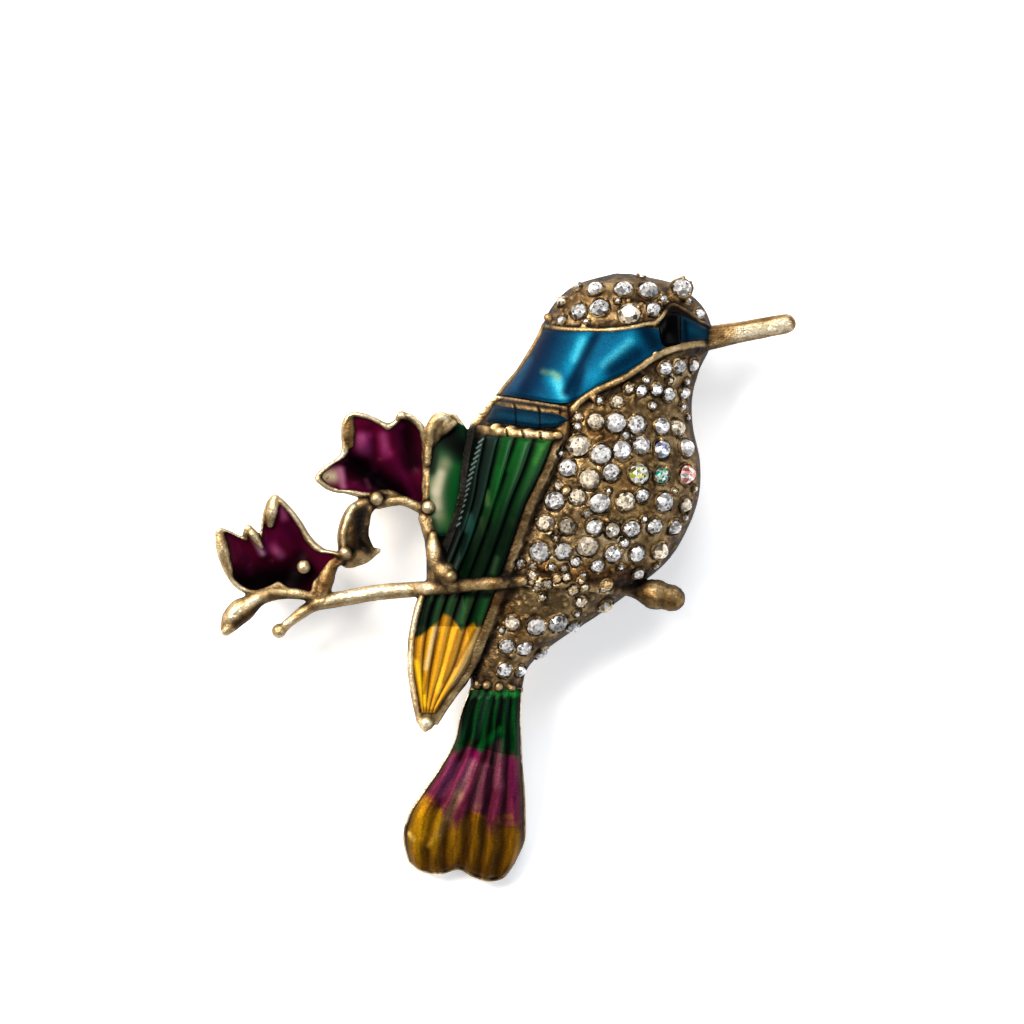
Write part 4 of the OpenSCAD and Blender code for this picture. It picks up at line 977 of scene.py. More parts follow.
# Limbs of the branch: start, end, bow, steps and how flat it is. Columns of a bow: along, sideways (share
# of the distance), height, diameter (shares of BRANCH_D)
LIMBS = [
    # Stem from the upper flower down to the branch
    (UPPER_ROOT, branch_xy(0.345) + [0, 0.15], [
        [0, 0, 1.08, 0.92], [0.4, 0.02, 1.31, 1.23], [0.75, 0.01, 1.54, 1.92], [0.9, 0, 1.69, 2.08],
        [1, 0, 1.69, 1.31]], 24, 1),
    # Leaf between the two flowers, its point, and the arch from it to the stem
    (by_upper(-0.19, -0.5), by_lower(0.89, 0.16), [
        [0, 0, 1.15, 0.9], [0.3, -0.14, 1.08, 1.75], [0.65, -0.11, 1.08, 1.92],
        [1, 0, 0.92, 1.23]], 28, 0.55),
    (by_lower(0.92, 0.17), by_lower(1.26, 0.27), [
        [0, 0, 0.92, 1.3], [0.5, 0.02, 0.92, 1.25], [1, 0, 0.92, 0.38]], 16, 0.8),
    (by_upper(-0.12, -0.56), by_upper(0.56, -0.68), [
        [0, 0, 1.08, 0.7], [0.4, 0.15, 1.08, 0.75], [0.8, 0.07, 1.08, 0.75], [1, 0, 1.08, 0.8]], 24, 1),
    # Leaf under the lower flower
    (LOWER_ROOT, by_lower(-0.62, -0.72), [
        [0, 0, 1, 0.77], [0.3, -0.16, 1, 0.8], [0.6, -0.215, 1.1, 1.15], [0.8, -0.13, 1.2, 1.5],
        [1, 0, 1.23, 0.75]], 34, 0.9),
    # Curl under the branch's left end
    (branch_xy(0.09), by_lower(0.04, -0.73), [
        [0, 0, 1, 0.92], [0.45, -0.11, 1, 0.92], [0.85, -0.05, 1, 0.7], [1, 0, 1, 0.62]], 24, 1),
    # Tip over the upper flower
    (by_upper(0.53, 0), LEAF_TOP + [-0.75, -0.8], [
        [0, 0, 1.38, 0.62], [0.5, 0.08, 1.38, 0.77], [1, 0, 1.31, 0.77]], 16, 1),
]


def add_branch(skin):
    s = np.concatenate([np.linspace(0, 0.84, 90), np.linspace(0.85, 0.968, 26)])
    path = branch_point(s)
    # Soften the step where the branch climbs onto the wing
    for _ in range(3):
        path[1:-1, 2] = (path[:-2, 2] + path[1:-1, 2] + path[2:, 2]) / 3
    blunt = 1.2 * smooth(0.91, 0.95, s)
    skin.add_limb(path, np.maximum(BRANCH_D * at(BRANCH, s, 2) / 2, blunt), flat=0.95)
    for start, end, bow, steps, flat in LIMBS:
        t = np.linspace(0, 1, steps)
        d = np.asarray(end) - start
        xy = start + t[:, None] * d + at(bow, t, 1)[:, None] * np.array([-d[1], d[0]])
        path = points(xy[:, 0], xy[:, 1], BRANCH_D * at(bow, t, 2))
        skin.add_limb(path, BRANCH_D * at(bow, t, 3) / 2, flat=flat)


# Round beads. Columns: place, height as a share of BRANCH_D
BEADS = [
    (by_lower(0.03, -0.72), 1), (by_lower(0.86, 0.24), 1.46), (by_lower(0.34, 0.07), 1.62),
    (by_upper(-0.15, -0.48), 1.54), (by_upper(0.54, -0.6), 1.54), (branch_xy(0.364) + [0, 0.95], 2.62),
    (branch_xy(0.315) + [0, 3], 1.92), (branch_xy(0.925) + [0, -0.1], 1.54),
]
# Small gold beads among the stones: pixel and diameter in mm
FIELD_BEADS = [
    (549, 317, 0.7), (628, 302, 0.6), (641, 305, 0.4), (648, 309, 0.75), (659, 306, 0.7), (594, 400, 0.8),
    (654, 355, 0.7), (479, 685, 0.9), (499, 686, 0.8), (511, 688, 0.8), (519, 690, 0.6), (584, 326, 0.55),
    (600, 306, 0.45), (640, 318, 0.5), (566, 430, 0.5), (566, 491, 0.9), (549, 531, 0.8), (562, 577, 0.5),
    (606, 520, 0.5), (548, 567, 0.7), (511, 655, 0.5), (487, 684, 0.9), (560, 622, 0.5), (612, 570, 0.5),
    (632, 566, 0.5), (575, 560, 0.5), (604, 493, 0.5), (600, 437, 0.5),
]


def add_beads(skin):
    for middle, height in BEADS:
        middle = np.array([*middle, BRANCH_D * height])
        skin.add_ball(middle, BEAD_D / 2, sides=18, turns=12)
        foot = middle * [1, 1, 0]
        skin.add_limb([foot + [0, 0, 0.4], foot + [0.01, 0, 0.7]], [BEAD_D * 0.36] * 2)
    for px, py, d in FIELD_BEADS:
        x, y = spot(px, py)
        normal = body_normal(x, y)
        skin.add_ball(on_dome(x, y) + normal * d * 0.2, d / 2, normal, 0.9, 12, 9)


def add_grains(skin):
    """Rough grains of metal in the ground between the stones"""
    dice = np.random.default_rng(GRAIN_SEED)
    made = 0
    while made < GRAIN_COUNT:
        down, across = dice.uniform(0.02, 0.93), dice.uniform(-0.5, 0.5)
        x, y = on_body(across, down)
        radius = dice.uniform(0.12, 0.26)
        clear = all(np.hypot(x - base[0], y - base[1]) > d / 2 + radius + 0.08
                    for base, _, d in ALL_SEATS)
        if clear and field_at(x, y, 0.25):
            skin.add_ball(on_dome(x, y), radius, body_normal(x, y), *GRAIN)
            made += 1


def add_rims(skin):
    skin.add_bar(path_on_body(CROWN_RIM, 40), RIM_W * 0.72, RIM_H * 0.7)
    skin.add_bar(path_on_body(BROW_RIM, 34), RIM_W * 0.72, RIM_H * 0.6)
    skin.add_bar(path_on_body(THROAT_RIM, 60), RIM_W * 1.05, RIM_H * 0.75)
    y = CROWN_Y - np.linspace(0.125, 0.33, 30) * BODY_LEN
    x = body_edge(y, 1) + RIM_W * 0.3
    skin.add_bar(on_dome(x, y), RIM_W * 0.6, RIM_H * 0.5)
    skin.add_bar(wing_rim(0.02, 0.97, 90, 1), RIM_W * 1.5, RIM_H * 0.65)
    # Soft slope from the right rim down to the breast
    slope = wing_rim(0.06, 0.7, 60, 1)
    away = across_path(slope)
    slope[:, :2] += away * np.sign(away[:, :1]) * 0.12
    skin.add_limb(slope - [0, 0, 0.5], np.full(60, 0.72))
    skin.add_bar(wing_rim(0.56, 0.97, 50, -1), RIM_W, RIM_H)
    q = np.linspace(-1, 1, 40)
    skin.add_bar(wing_point(UPPER_BAR, q), RIM_W, RIM_H)
    skin.add_bar(wing_point(LOWER_BAR, q), RIM_W * 1.4, RIM_H)
    s = np.linspace(0.03, 0.85, 40)
    skin.add_bar(leaf_point(s, -1 + RIM_W / 2 / half_width(LEAF, LEAF_W, s)), RIM_W, RIM_H)


# Rounded gold tips over the feathers: middle, half width and half height in pixels
CAPS = [(497, 428, 7, 5), (512, 431, 7.5, 5.5), (529, 434, 8, 5.5), (545, 437, 6, 5), (557, 436, 5, 4.5)]


def wing_surface(x, y):
    """Middle height of the feathers"""
    return wing_base(x, y) + FEATHER_H * 0.5


def add_feather_caps(skin):
    angle = round_angles(20)
    for px, py, wide, tall in CAPS:
        x, y = spot(px, py)
        skin.add_rings([points(x + wide * PIXEL * np.cos(angle) * np.cos(t),
                               y + tall * PIXEL * np.sin(angle) * np.cos(t),
                               wing_surface(x, y) + 0.12 + 0.22 * np.sin(t))
                        for t in np.linspace(-np.pi / 2, np.pi / 2, 11)[1:-1]])


def make_casting():
    """The whole metal as one closed mesh, hollow at the back"""
    whole = dome_skin(0, 0)
    s, q = grid((0, 1, 120), (-1, 1, 70))
    round_tip = np.sqrt(np.clip(1 - (np.clip(s - 0.955, 0, 1) / 0.046)**2, 0.02, 1))
    whole.add_grid(edged(wing_point, wing_xy(s, q * round_tip), s, q, 0.97), 0.4)
    whole.add_grid(leaf_point(*grid((0, 1, 60), (-1, 1, 30))), 0.1)
    s, q = grid((0, 1, 90), (-1, 1, 80))
    outline = tail_xy(s, q)
    whole.add_grid(edged(tail_point, outline, s, q, 0.96), points(*outline, tail_under(s)))
    add_beak(whole)
    add_rims(whole)
    add_feather_caps(whole)
    add_rolled_tips(whole)
    whole.add_ball(wing_point(0.972, 0.0) + [0, 0, -0.15], 0.7, sides=18, turns=12)
    add_branch(whole)
    add_beads(whole)
    add_grains(whole)
    high = body_height(*LEANS_ON)
    whole.add_limb([points(*LEANS_ON, high - 0.5), points(*STANDING_AT, high - 0.55)], [0.9, 0.72])
    add_flower_metal(whole, UPPER_FORM)
    add_flower_metal(whole, LOWER_FORM)
    piece = make_object("cast_metal", whole)
    apply_modifier(piece, "REMESH", mode="VOXEL", voxel_size=VOXEL * MM, adaptivity=0.0)
    hollow = make_object("hollow_tool", dome_skin(WALL, -1.0, 0.06, 0.93, 50, 40))
    apply_modifier(piece, "BOOLEAN", operation="DIFFERENCE", solver="MANIFOLD", object=hollow)
    bpy.data.objects.remove(hollow)
    faces = sum(len(p.vertices) - 2 for p in piece.data.polygons)
    apply_modifier(piece, "DECIMATE", ratio=min(1.0, CAST_TRIANGLES / faces))
    return piece


def standing_out(corners, normals, edges, steps):
    """How far each corner stands out of the surface smoothed over a number of steps, in mm"""
    a, b = edges.T
    count = np.bincount(edges.ravel(), minlength=len(corners)).astype(float)
    smoothed, found = corners, []
    for step in range(1, max(steps) + 1):
        total = [np.bincount(a, line[b], len(corners)) + np.bincount(b, line[a], len(corners))
                 for line in smoothed.T]
        smoothed = np.stack(total, axis=1) / count[:, None]
        if step in steps:
            found.append(((corners - smoothed) * normals).sum(axis=1))
    return found


def stone_ground(corners):
    """1 on the ground of the stone fields and 0 elsewhere"""
    x, y = corners[:, 0], corners[:, 1]
    s = np.clip((SHOULDER[1] - y) / WING_LEN, 0, 1)
    breast = (x > wing_xy(s, 1)[0] + 0.2) & (y < np.interp(x, *THROAT_LINE) - 0.4)
    crown = y > np.interp(x, *CROWN_LINE) + 0.4
    inside = (y > CROWN_Y - BODY_LEN) & (corners[:, 2] > 0.8) & (x < 19)
    return (inside & (breast | crown)).astype(float)


def press_seats(corners):
    """Sinks a bowl under every stone"""
    for base, normal, d in ALL_SEATS:
        away = corners - base
        near = np.flatnonzero(np.linalg.norm(away, axis=1) < d / 2 + 0.9)
        high = away[near] @ normal
        flat = np.linalg.norm(away[near] - high[:, None] * normal, axis=1)
        r = d / 2
        floor = -SEAT_DEPTH - 0.12 + (SEAT_DEPTH - 0.1) * smooth(0.55 * r, r + 0.05, flat)
        sink = np.where((flat < r + 0.12) & (high > -1.0), np.minimum(floor - high, 0), 0)
        ease = 1 - smooth(r + 0.02, r + 0.12, flat)
        corners[near] += (sink * ease)[:, None] * normal
    return corners


# Dark seams across the two bars beside the collar: first and last pixel
SEAMS = [(514, 404, 516, 413), (538, 407, 540, 416), (506, 430, 508, 438), (522, 431, 524, 440),
         (540, 433, 541, 442)]
SEAM_W, SEAM_DEPTH = 0.16, 0.22
# Where handling has polished the metal or left it brown, and where light and shade are painted on it:
# painted shade beside the wing's left edge, in the hollow of the leaf between the flowers and along the
# tail's lower and right edges, and painted highlights on the beak's top and on that leaf's left edge.
# Columns: first and last pixel, width in pixels, change
WEAR_AND_LIGHT_STROKES = [
    (325, 596, 425, 585, 12, 0.28), (440, 578, 530, 577, 14, -0.16), (545, 578, 640, 584, 16, -0.18),
    (742, 333, 786, 323, 12, 0.32), (425, 708, 427, 722, 10, 0.18), (416, 600, 414, 690, 7, 0.12),
    (364, 512, 367, 548, 12, -0.5), (355, 502, 350, 516, 8, 0.3), (349, 520, 350, 545, 5, 0.12),
    (262, 606, 236, 624, 7, -0.22), (256, 598, 232, 616, 6, 0.3), (270, 596, 310, 606, 7, -0.25),
    (495, 640, 460, 690, 6, -0.18), (560, 440, 515, 520, 9, -0.12), (630, 598, 672, 602, 12, -0.02),
    (505, 560, 500, 600, 12, -0.2), (595, 400, 700, 350, 8, -0.2), (680, 310, 712, 332, 8, -0.25),
    (665, 306, 676, 312, 8, -0.25), (430, 590, 436, 560, 14, -0.1), (434, 543, 434, 560, 6, 0.2),
    (470, 428, 450, 500, 9, -0.6), (450, 500, 444, 560, 8, -0.6), (498, 404, 568, 414, 9, -0.3),
    (404, 830, 420, 866, 6, -0.35), (440, 872, 505, 884, 8, -0.35), (522, 700, 523, 860, 6, -0.35),
    (462, 700, 430, 790, 5, 0.05), (346, 418, 350, 440, 9, -0.15), (440, 412, 446, 420, 9, 0.3),
    (563, 440, 520, 530, 12, -0.14), (520, 530, 498, 575, 12, -0.14), (640, 300, 700, 320, 14, -0.2),
    (548, 330, 640, 322, 8, -0.15),
]
# Where the gilt is amber, olive or nearly black, with painted shade among these: nearly black beside the
# wing's left edge, dark in the hollow of the leaf between the flowers and on the beak's bevels.
# Columns: first and last pixel, width in pixels, colour, strength
STAINS_AND_SHADE = [
    (716, 349, 792, 334, 7, "#5a4020", 0.9), (714, 329, 786, 315, 5, "#7a5c34", 0.8),
    (791, 317, 796, 327, 5, "#6a4c2a", 0.9), (712, 338, 728, 338, 7, "#8a6a40", 0.6),
    (620, 282, 706, 306, 9, "#9a8058", 0.6), (545, 312, 600, 282, 8, "#9a8058", 0.5),
    (640, 594, 684, 604, 12, "#c8ac7c", 0.5), (498, 570, 480, 640, 8, "#8a7448", 0.6),
    (357, 514, 354, 548, 12, "#4a3812", 0.95), (560, 420, 612, 432, 20, "#ffc46a", 0.7),
    (545, 570, 640, 576, 18, "#ffc470", 0.6), (575, 302, 690, 300, 26, "#c2b6a2", 0.8),
    (610, 400, 640, 520, 80, "#cdc1ac", 0.75), (600, 470, 640, 500, 30, "#ffe2b4", 0.4),
    (500, 600, 540, 660, 18, "#ffcf94", 0.4), (350, 426, 351, 444, 8, "#b09a64", 0.7),
    (471, 430, 461, 487, 12, "#0a1410", 0.95), (466, 475, 452, 534, 14, "#0a1410", 0.95),
    (446, 540, 456, 572, 9, "#3a3018", 0.5), (430, 600, 500, 604, 5, "#7a6640", 0.5),
    (258, 606, 236, 626, 6, "#8a6c40", 0.7), (338, 560, 322, 592, 12, "#8a6a3c", 0.8),
]


def finish_casting(piece):
    """Presses the seats, roughens the surface and works out where it is rubbed bright and where it is brown,
    with painted light and shade
    """
    corners, normals = corners_of(piece), read_corners(piece, "normal")
    ground = stone_ground(corners)
    corners = press_seats(corners)
    rough = (lumps(corners, 0.33, 1) * 0.02 + lumps(corners, 0.9, 2) * 0.03) * (1 + 1.6 * ground)
    corners = corners + normals * (rough * (corners[:, 2] > 0.3))[:, None]
    for seam in SEAMS:
        corners[:, 2] -= SEAM_DEPTH * (stroke(corners, seam, SEAM_W) * (corners[:, 2] > 2.5))
    piece.data.vertices.foreach_set("co", ((corners + [0, 0, BACK_Z]) * MM).ravel())
    piece.data.update()
    face_outwards(piece)
    edges = np.empty(len(piece.data.edges) * 2, int)
    piece.data.edges.foreach_get("vertices", edges)
    normals = read_corners(piece, "normal")
    near, far = standing_out(corners, normals, edges.reshape(-1, 2), (4, 30))
    upright = normals[:, 2]
    # Pale where edges stand out and brown in the hollows. As painted light, faces turned to the front are
    # lighter; as painted shade, steep sides are darker
    wear_and_shade = (0.34 + (2.6 * near + 1.1 * far) * (1 - 0.45 * ground) + 0.14 * smooth(0.3, 1.0, upright)
            - 0.05 * ground)
    wear_and_shade -= 0.34 * (1 - smooth(0.0, 0.6, upright))
    for *ends, width, change in WEAR_AND_LIGHT_STROKES:
        wear_and_shade += change * stroke(corners, ends, width * PIXEL)
    set_wear_and_shade(piece, wear_and_shade)
    # Tints of the stains, with their painted shade
    set_tint(piece, painted("#ffffff", corners, STAINS_AND_SHADE))
    piece.data.shade_smooth()


casting = make_casting()
finish_casting(casting)
dress(casting, "gilt_casting", GILT)


# Settings of the stones

# Section of a setting's ring. Columns: step outwards and height in mm
SETTING = [[-0.06, -0.5], [-0.07, -0.03], [0, 0.03], [0.07, 0], [0.13, -0.12], [0.2, -0.5]]


def make_settings():
    """A lumpy ring round every stone, with a few grains of metal on it"""
    dice = np.random.default_rng(12)
    skin, angle = Skin(), round_angles(20)
    index = np.arange(len(SETTING) * len(angle)).reshape(len(SETTING), len(angle))
    following = np.roll(index, -1, axis=1)
    quads = np.stack([index, following, np.roll(following, -1, axis=0), np.roll(index, -1, axis=0)], axis=-1)
    for base, normal, d in ALL_SEATS:
        u, v, w = frame_on(normal)
        ring = circle(u, v, len(angle))
        wobble = 1 + (0.05 * np.sin(3 * angle + dice.uniform(0, 6))
                      + 0.04 * np.sin(5 * angle + dice.uniform(0, 6)))
        r = (d / 2 + 0.03) * wobble[:, None]
        skin.add(np.concatenate([base + ring * (r + out) + w * high for out, high in SETTING]),
                 quads.reshape(-1, 4).tolist())
        count = dice.integers(3, 7)
        first = dice.uniform(0, 2 * np.pi)
        for k in range(count):
            turn = first + 2 * np.pi * k / count + dice.uniform(-0.4, 0.4)
            out = np.cos(turn) * u + np.sin(turn) * v
            skin.add_ball(base + out * (d / 2 + 0.04) + w * 0.05, dice.uniform(0.12, 0.22), w, 0.8, 8, 6)
    piece = make_object("stone_settings", skin, 60)
    set_wear_and_shade(piece, 0.5 + 0.4 * lumps(corners_of(piece), 0.5, 9))
    dress(piece, "gilt_casting", FIELD_GILT)


make_settings()


# Enamel fills

ALL_SIDES = ("left", "right", "top", "bottom")
# Thickness of a fill, how far its edges turn down, and how wide that turn is, in mm
FILL_T, EDGE_DROP, EDGE_TURN = 0.45, 0.14, 0.35


def border_distance(top, closed):
    """Distance in mm from each point of a grid to those of its borders that are closed"""
    far = np.full(top.shape[:2], 9.0)
    along = np.linalg.norm(np.diff(top, axis=1), axis=-1)
    down = np.linalg.norm(np.diff(top, axis=0), axis=-1)
    left = np.concatenate([np.zeros((top.shape[0], 1)), np.cumsum(along, axis=1)], axis=1)
    upper = np.concatenate([np.zeros((1, top.shape[1])), np.cumsum(down, axis=0)], axis=0)
    distances = {"left": left, "right": left[:, -1:] - left, "top": upper, "bottom": upper[-1:] - upper}
    for side in closed:
        far = np.minimum(far, distances[side])
    return far


def add_fill(skin, tints, top, tint, closed=ALL_SIDES, lowest=-9.0):
    """Adds one enamel fill from the grid of its face, its edges turned down beside the metal"""
    top = top.copy()
    top[..., 2] -= EDGE_DROP * (1 - smooth(0, EDGE_TURN, border_distance(top, closed)))
    under = top - [0, 0, FILL_T]
    under[..., 2] = np.maximum(under[..., 2], lowest)
    skin.add_grid(top, under)
    tints += [tint.reshape(-1, 3)] * 2


def make_fill(name, fills, material, replaced, depth=0.5):
    """One enamel piece from fills: grid, tint, closed sides and the lowest height.
    The depth is the share of the tints' light that comes back through the enamel"""
    skin, tints = Skin(), []
    for fill in fills:
        add_fill(skin, tints, *fill)
    piece = make_object(name, skin, 50)
    set_tint(piece, np.concatenate(tints) * depth)
    dress(piece, replaced, material)


# Metal left bare between the outline of the body and a fill, in mm
EDGE_GAP = 0.3


def body_fill_top(table, first, last, inset, rows, columns, folds=()):
    """Face of a fill between two edges on the body, its rows running down"""
    w, t = grid((inset, 1 - inset, rows), (first, last, columns))
    upper = on_body(at(table, t, 1), at(table, t, 2))
    lower = on_body(at(table, t, 3), at(table, t, 4))
    x, y = mix(upper[0], lower[0], w), mix(upper[1], lower[1], w)
    x = np.maximum(x, body_edge(y, 1) + EDGE_GAP)
    top = points(x, y, body_height(x, y) + ENAMEL_T * 0.8)
    top[..., 2] = lifted(top[..., 2], top, folds)
    return top


# Folds of the nape, and its painted strokes: painted highlights and a painted glint on the folds, and painted
# shade in the grooves between them. The columns are those of the petals' folds and of the stains and shade
NAPE_FOLDS = [
    (588, 332, 570, 372, 13, 0.22), (634, 340, 598, 378, 12, 0.22), (556, 380, 562, 400, 12, 0.2),
    (596, 338, 580, 366, 8, -0.14), (582, 378, 574, 400, 9, -0.1), (630, 358, 614, 370, 9, -0.1),
    (530, 345, 515, 385, 16, 0.1),
]
NAPE_STROKES = [
    (518, 390, 544, 335, 36, "#011e3e", 1), (512, 393, 528, 360, 9, "#045a80", 0.6),
    (588, 334, 572, 368, 16, "#0c88b4", 0.9), (582, 342, 575, 360, 9, "#4cc6e0", 0.7),
    (632, 340, 593, 382, 16, "#0c86b2", 0.9), (629, 343, 604, 366, 8, "#4cc2dc", 0.75),
    (553, 380, 566, 402, 15, "#0c90bc", 0.9), (556, 381, 563, 396, 9, "#5cd0e6", 0.75),
    (543, 372, 558, 376, 6, "#8f9a70", 0.5), (553, 374, 559, 380, 5, "#79b4a0", 0.6),
    (596, 336, 567, 392, 9, "#01233e", 0.9), (581, 372, 571, 406, 8, "#022c4a", 0.8),
    (636, 355, 612, 371, 14, "#022440", 0.8), (640, 322, 654, 345, 16, "#021c30", 0.9),
    (512, 394, 562, 410, 7, "#022c48", 0.6), (548, 330, 640, 325, 7, "#022238", 0.8),
    (600, 398, 660, 362, 8, "#02304e", 0.6),
]
SHINY = enamel_material("nape_enamel", 0.2, 0.4, 0.3, 0.09, coat=0.0, shine=0.02)
top = body_fill_top(NAPE, 0.02, 1.0, 0.03, 90, 170, NAPE_FOLDS)
top[..., 2] = np.maximum(top[..., 2], 0.3)
make_fill("nape_fill", [(top, painted("#045a82", top, NAPE_STROKES), ALL_SIDES, 0.03)],
          SHINY, "nape_enamel", 0.6)

LORE = enamel_material("lore_enamel", 0.2, 0.42, 0.1, coat=0.0, shine=0.02)
top = body_fill_top(EYE_CELL, EYE_END + 0.005, 0.84, 0.12, 30, 40)
tint = painted("#033650", top, [
    (690, 330, 706, 335, 8, "#0a5878", 0.8), (684, 322, 686, 340, 5, "#021a2c", 0.9)])
make_fill("lore_fill", [(top, tint)], LORE, "lore_enamel", 0.45)

EYE = enamel_material("eye_enamel", 0.0, 0.3, 0.02, coat=0.02, shine=0.02)
top = body_fill_top(EYE_CELL, -0.02, EYE_END, 0.06, 30, 30)
arch = np.sin(np.linspace(0, np.pi, 30))
top[..., 2] += 0.25 * (arch[:, None] * arch[None])
make_fill("eye_fill", [(top, colour("#030304") + 0 * top)], EYE, "eye")

# Shares of the wing's length that the fills of the scene span, a little under their rims
FEATHER_TOP = LOWER_BAR + 0.5 * RIM_W / WING_LEN
WING_CROSSING = (SHOULDER[1] - BRANCH_AT[1]) / WING_LEN
YELLOW_START = WING_CROSSING + YELLOW_BELOW


def wing_grid(first, last, low, high, rows, columns):
    """Face of a fill on the wing, and each point's place across the wing"""
    s, q = grid((first, last, rows), (low, high, columns))
    return wing_point(s, q, ENAMEL_T), q + 0 * s


def feather_tint(q, dark, bright, side):
    """Tint across feathers: dark in the grooves, where the enamel is thick and shade is painted, bright left
    of each ridge as painted light, and another colour on its right, where the enamel is thin and a painted
    sheen lies
    """
    high, t = saw(q, FEATHERS, FEATHER_PEAK)
    tint = mix(colour(dark), colour(bright), smooth(0.02, 0.5, high)[..., None])
    tint = mix(tint, colour(side), (smooth(0.5, 0.74, t) * (1 - smooth(0.84, 0.95, t)))[..., None] * 0.8)
    return mix(tint, colour(dark), smooth(0.86, 0.99, t)[..., None] * 0.9)


# The line where green meets yellow on the wing, in pixels
WING_BORDER = [
    (410, 640), (421, 636), (439, 621), (443, 614), (451, 617), (458, 626), (461, 631), (474, 623),
    (477, 628), (489, 623), (500, 618),
]
# Painted strokes, among them painted highlights and shade: pale highlight streaks on the yellow feathers and
# painted shade just under the branch on the green. Columns, here and below: first and last pixel, width in
# pixels, colour, strength
YELLOW_STROKES = [
    (436, 627, 426, 668, 5, "#e9cf9a", 0.8), (451, 630, 437, 690, 7, "#f2bb2a", 0.8),
    (416, 662, 425, 704, 5, "#ffd21a", 0.95), (480, 632, 455, 684, 9, "#c2a878", 0.75),
    (439, 633, 424, 693, 3, "#6a4208", 0.5), (458, 630, 443, 682, 3, "#6a4208", 0.5),
    (475, 630, 456, 666, 3, "#4a3008", 0.5), (432, 690, 438, 708, 5, "#c98a14", 0.5),
]
GREEN_STROKES = [
    (430, 605, 422, 632, 9, "#031009", 0.8), (468, 596, 462, 622, 4, "#4f8a50", 0.6),
    (486, 600, 480, 618, 5, "#1c7a36", 0.6), (430, 595, 490, 594, 6, "#020805", 0.8),
]
UPPER_STROKES = [
    (541, 434, 562, 436, 10, "#7f9c40", 0.75), (548, 440, 535, 462, 6, "#3d8a2c", 0.6),
    (500, 436, 488, 470, 5, "#2a7438", 0.5), (486, 492, 488, 504, 6, "#7fae62", 0.7),
    (482, 520, 484, 532, 6, "#5f7a44", 0.7), (511, 520, 517, 527, 6, "#5f7a3a", 0.6),
    (500, 470, 494, 520, 6, "#0a7a24", 0.6), (521, 440, 508, 470, 5, "#0d7a28", 0.5),
]


def lower_wing(top, q, closed):
    """A fill of the wing under the branch: green above and yellow below a jagged border"""
    px, py = pixels_of(top)
    green = painted(feather_tint(q, "#010a05", "#0b3f1c", "#3c5230"), top, GREEN_STROKES)
    yellow = painted(feather_tint(q, "#94640f", "#d2940f", "#b98f3e"), top, YELLOW_STROKES)
    below = py - np.interp(px, *zip(*WING_BORDER))
    return top, mix(green, yellow, smooth(-2.5, 2.5, below)[..., None]), closed


FEATHER = enamel_material("feather_enamel", 0.25, 0.42, 0.14, coat=0.02, shine=0.04)
AMBER = enamel_material("amber_enamel", 0.3, 0.42, 0.16)

top, q = wing_grid(FEATHER_TOP, WING_CROSSING, TEAL_EDGE, 1.0, 160, 110)
tint = painted(feather_tint(q, "#010a05", "#0a5f20", "#376a48"), top, UPPER_STROKES)
px, py = pixels_of(top)
# Painted shade: the feathers darken down towards the branch and to the right
dusk = smooth(462, 540, py + 0.5 * (px - 500))
tint = mix(tint, colour("#02120a"), (0.9 * dusk)[..., None])
tint = painted(tint, top, [(497, 558, 493, 572, 5, "#4d6a44", 0.7)])
make_fill("green_feathers", [
    (top, tint, ("right", "top")),
    lower_wing(*wing_grid(WING_CROSSING, YELLOW_START, -1.02, 1.02, 50, 130), ("left", "right")),
], FEATHER, "wing_green_enamel", 0.4)
top, q = wing_grid(YELLOW_START, YELLOW_END + 0.01, -1.02, 1.02, 110, 115)
make_fill("yellow_feathers", [lower_wing(top, q, ("left", "right", "bottom"))],
          AMBER, "wing_yellow_enamel", 0.75)

# Pale dashes of painted highlight down the first feather, over small ridges: first and last pixel
DASHES = [(x - 2.3, y + 1.8, x + 2.3, y - 1.8) for x, y in (
    (481, 441), (479, 446.5), (477.5, 452), (476, 457.5), (474, 463), (472.5, 468.5), (471, 474),
    (469.5, 479.5), (468, 485), (466.5, 490.5), (465, 496), (463.5, 501.5), (462, 507), (460.5, 513),
    (459, 519), (457.5, 525),
)]
TEAL = enamel_material("teal_enamel", 0.1, 0.45, 0.08, shine=0.05)
top, q = wing_grid(FEATHER_TOP, WING_CROSSING, -1.02, TEAL_EDGE, 190, 80)
# Painted shade: the feather darkens to its outer edge beside the leaf and at its top
outer = 1 - smooth(-0.86, -0.74, q)
tint = mix(feather_tint(q, "#010806", "#0a241d", "#16362c"), colour("#020806"), (0.9 * outer)[..., None])
tint = painted(tint, top, [
    (470, 520, 480, 566, 8, "#0e4a3e", 0.8), (472, 548, 482, 566, 6, "#1b6a55", 0.5),
    (466, 430, 480, 440, 9, "#020605", 0.95), (470, 515, 466, 530, 5, "#3e6a66", 0.6),
    *[(*dash, 1.6, "#9fb8b8", 0.85) for dash in DASHES]])
top[..., 2] = lifted(top[..., 2], top, [(*dash, 1.3, 0.09) for dash in DASHES])
make_fill("teal_feather", [(top, tint, ("left", "top"))], TEAL, "wing_teal_enamel", 0.5)

# The collar's upper and lower edges, in pixels
COLLAR_EDGES = [
    [(494, 405), (516, 408), (540, 412), (560, 416), (568, 420.5)],
    [(486, 421), (510, 424), (535, 428), (556, 427), (568, 421.5)],
]


def line_points(pixels, count):
    """Places at even steps along a line of pixels"""
    t, k = np.linspace(0, len(pixels) - 1, count), np.arange(len(pixels))
    return [np.interp(t, k, values) for values in zip(*[spot(*pixel) for pixel in pixels])]


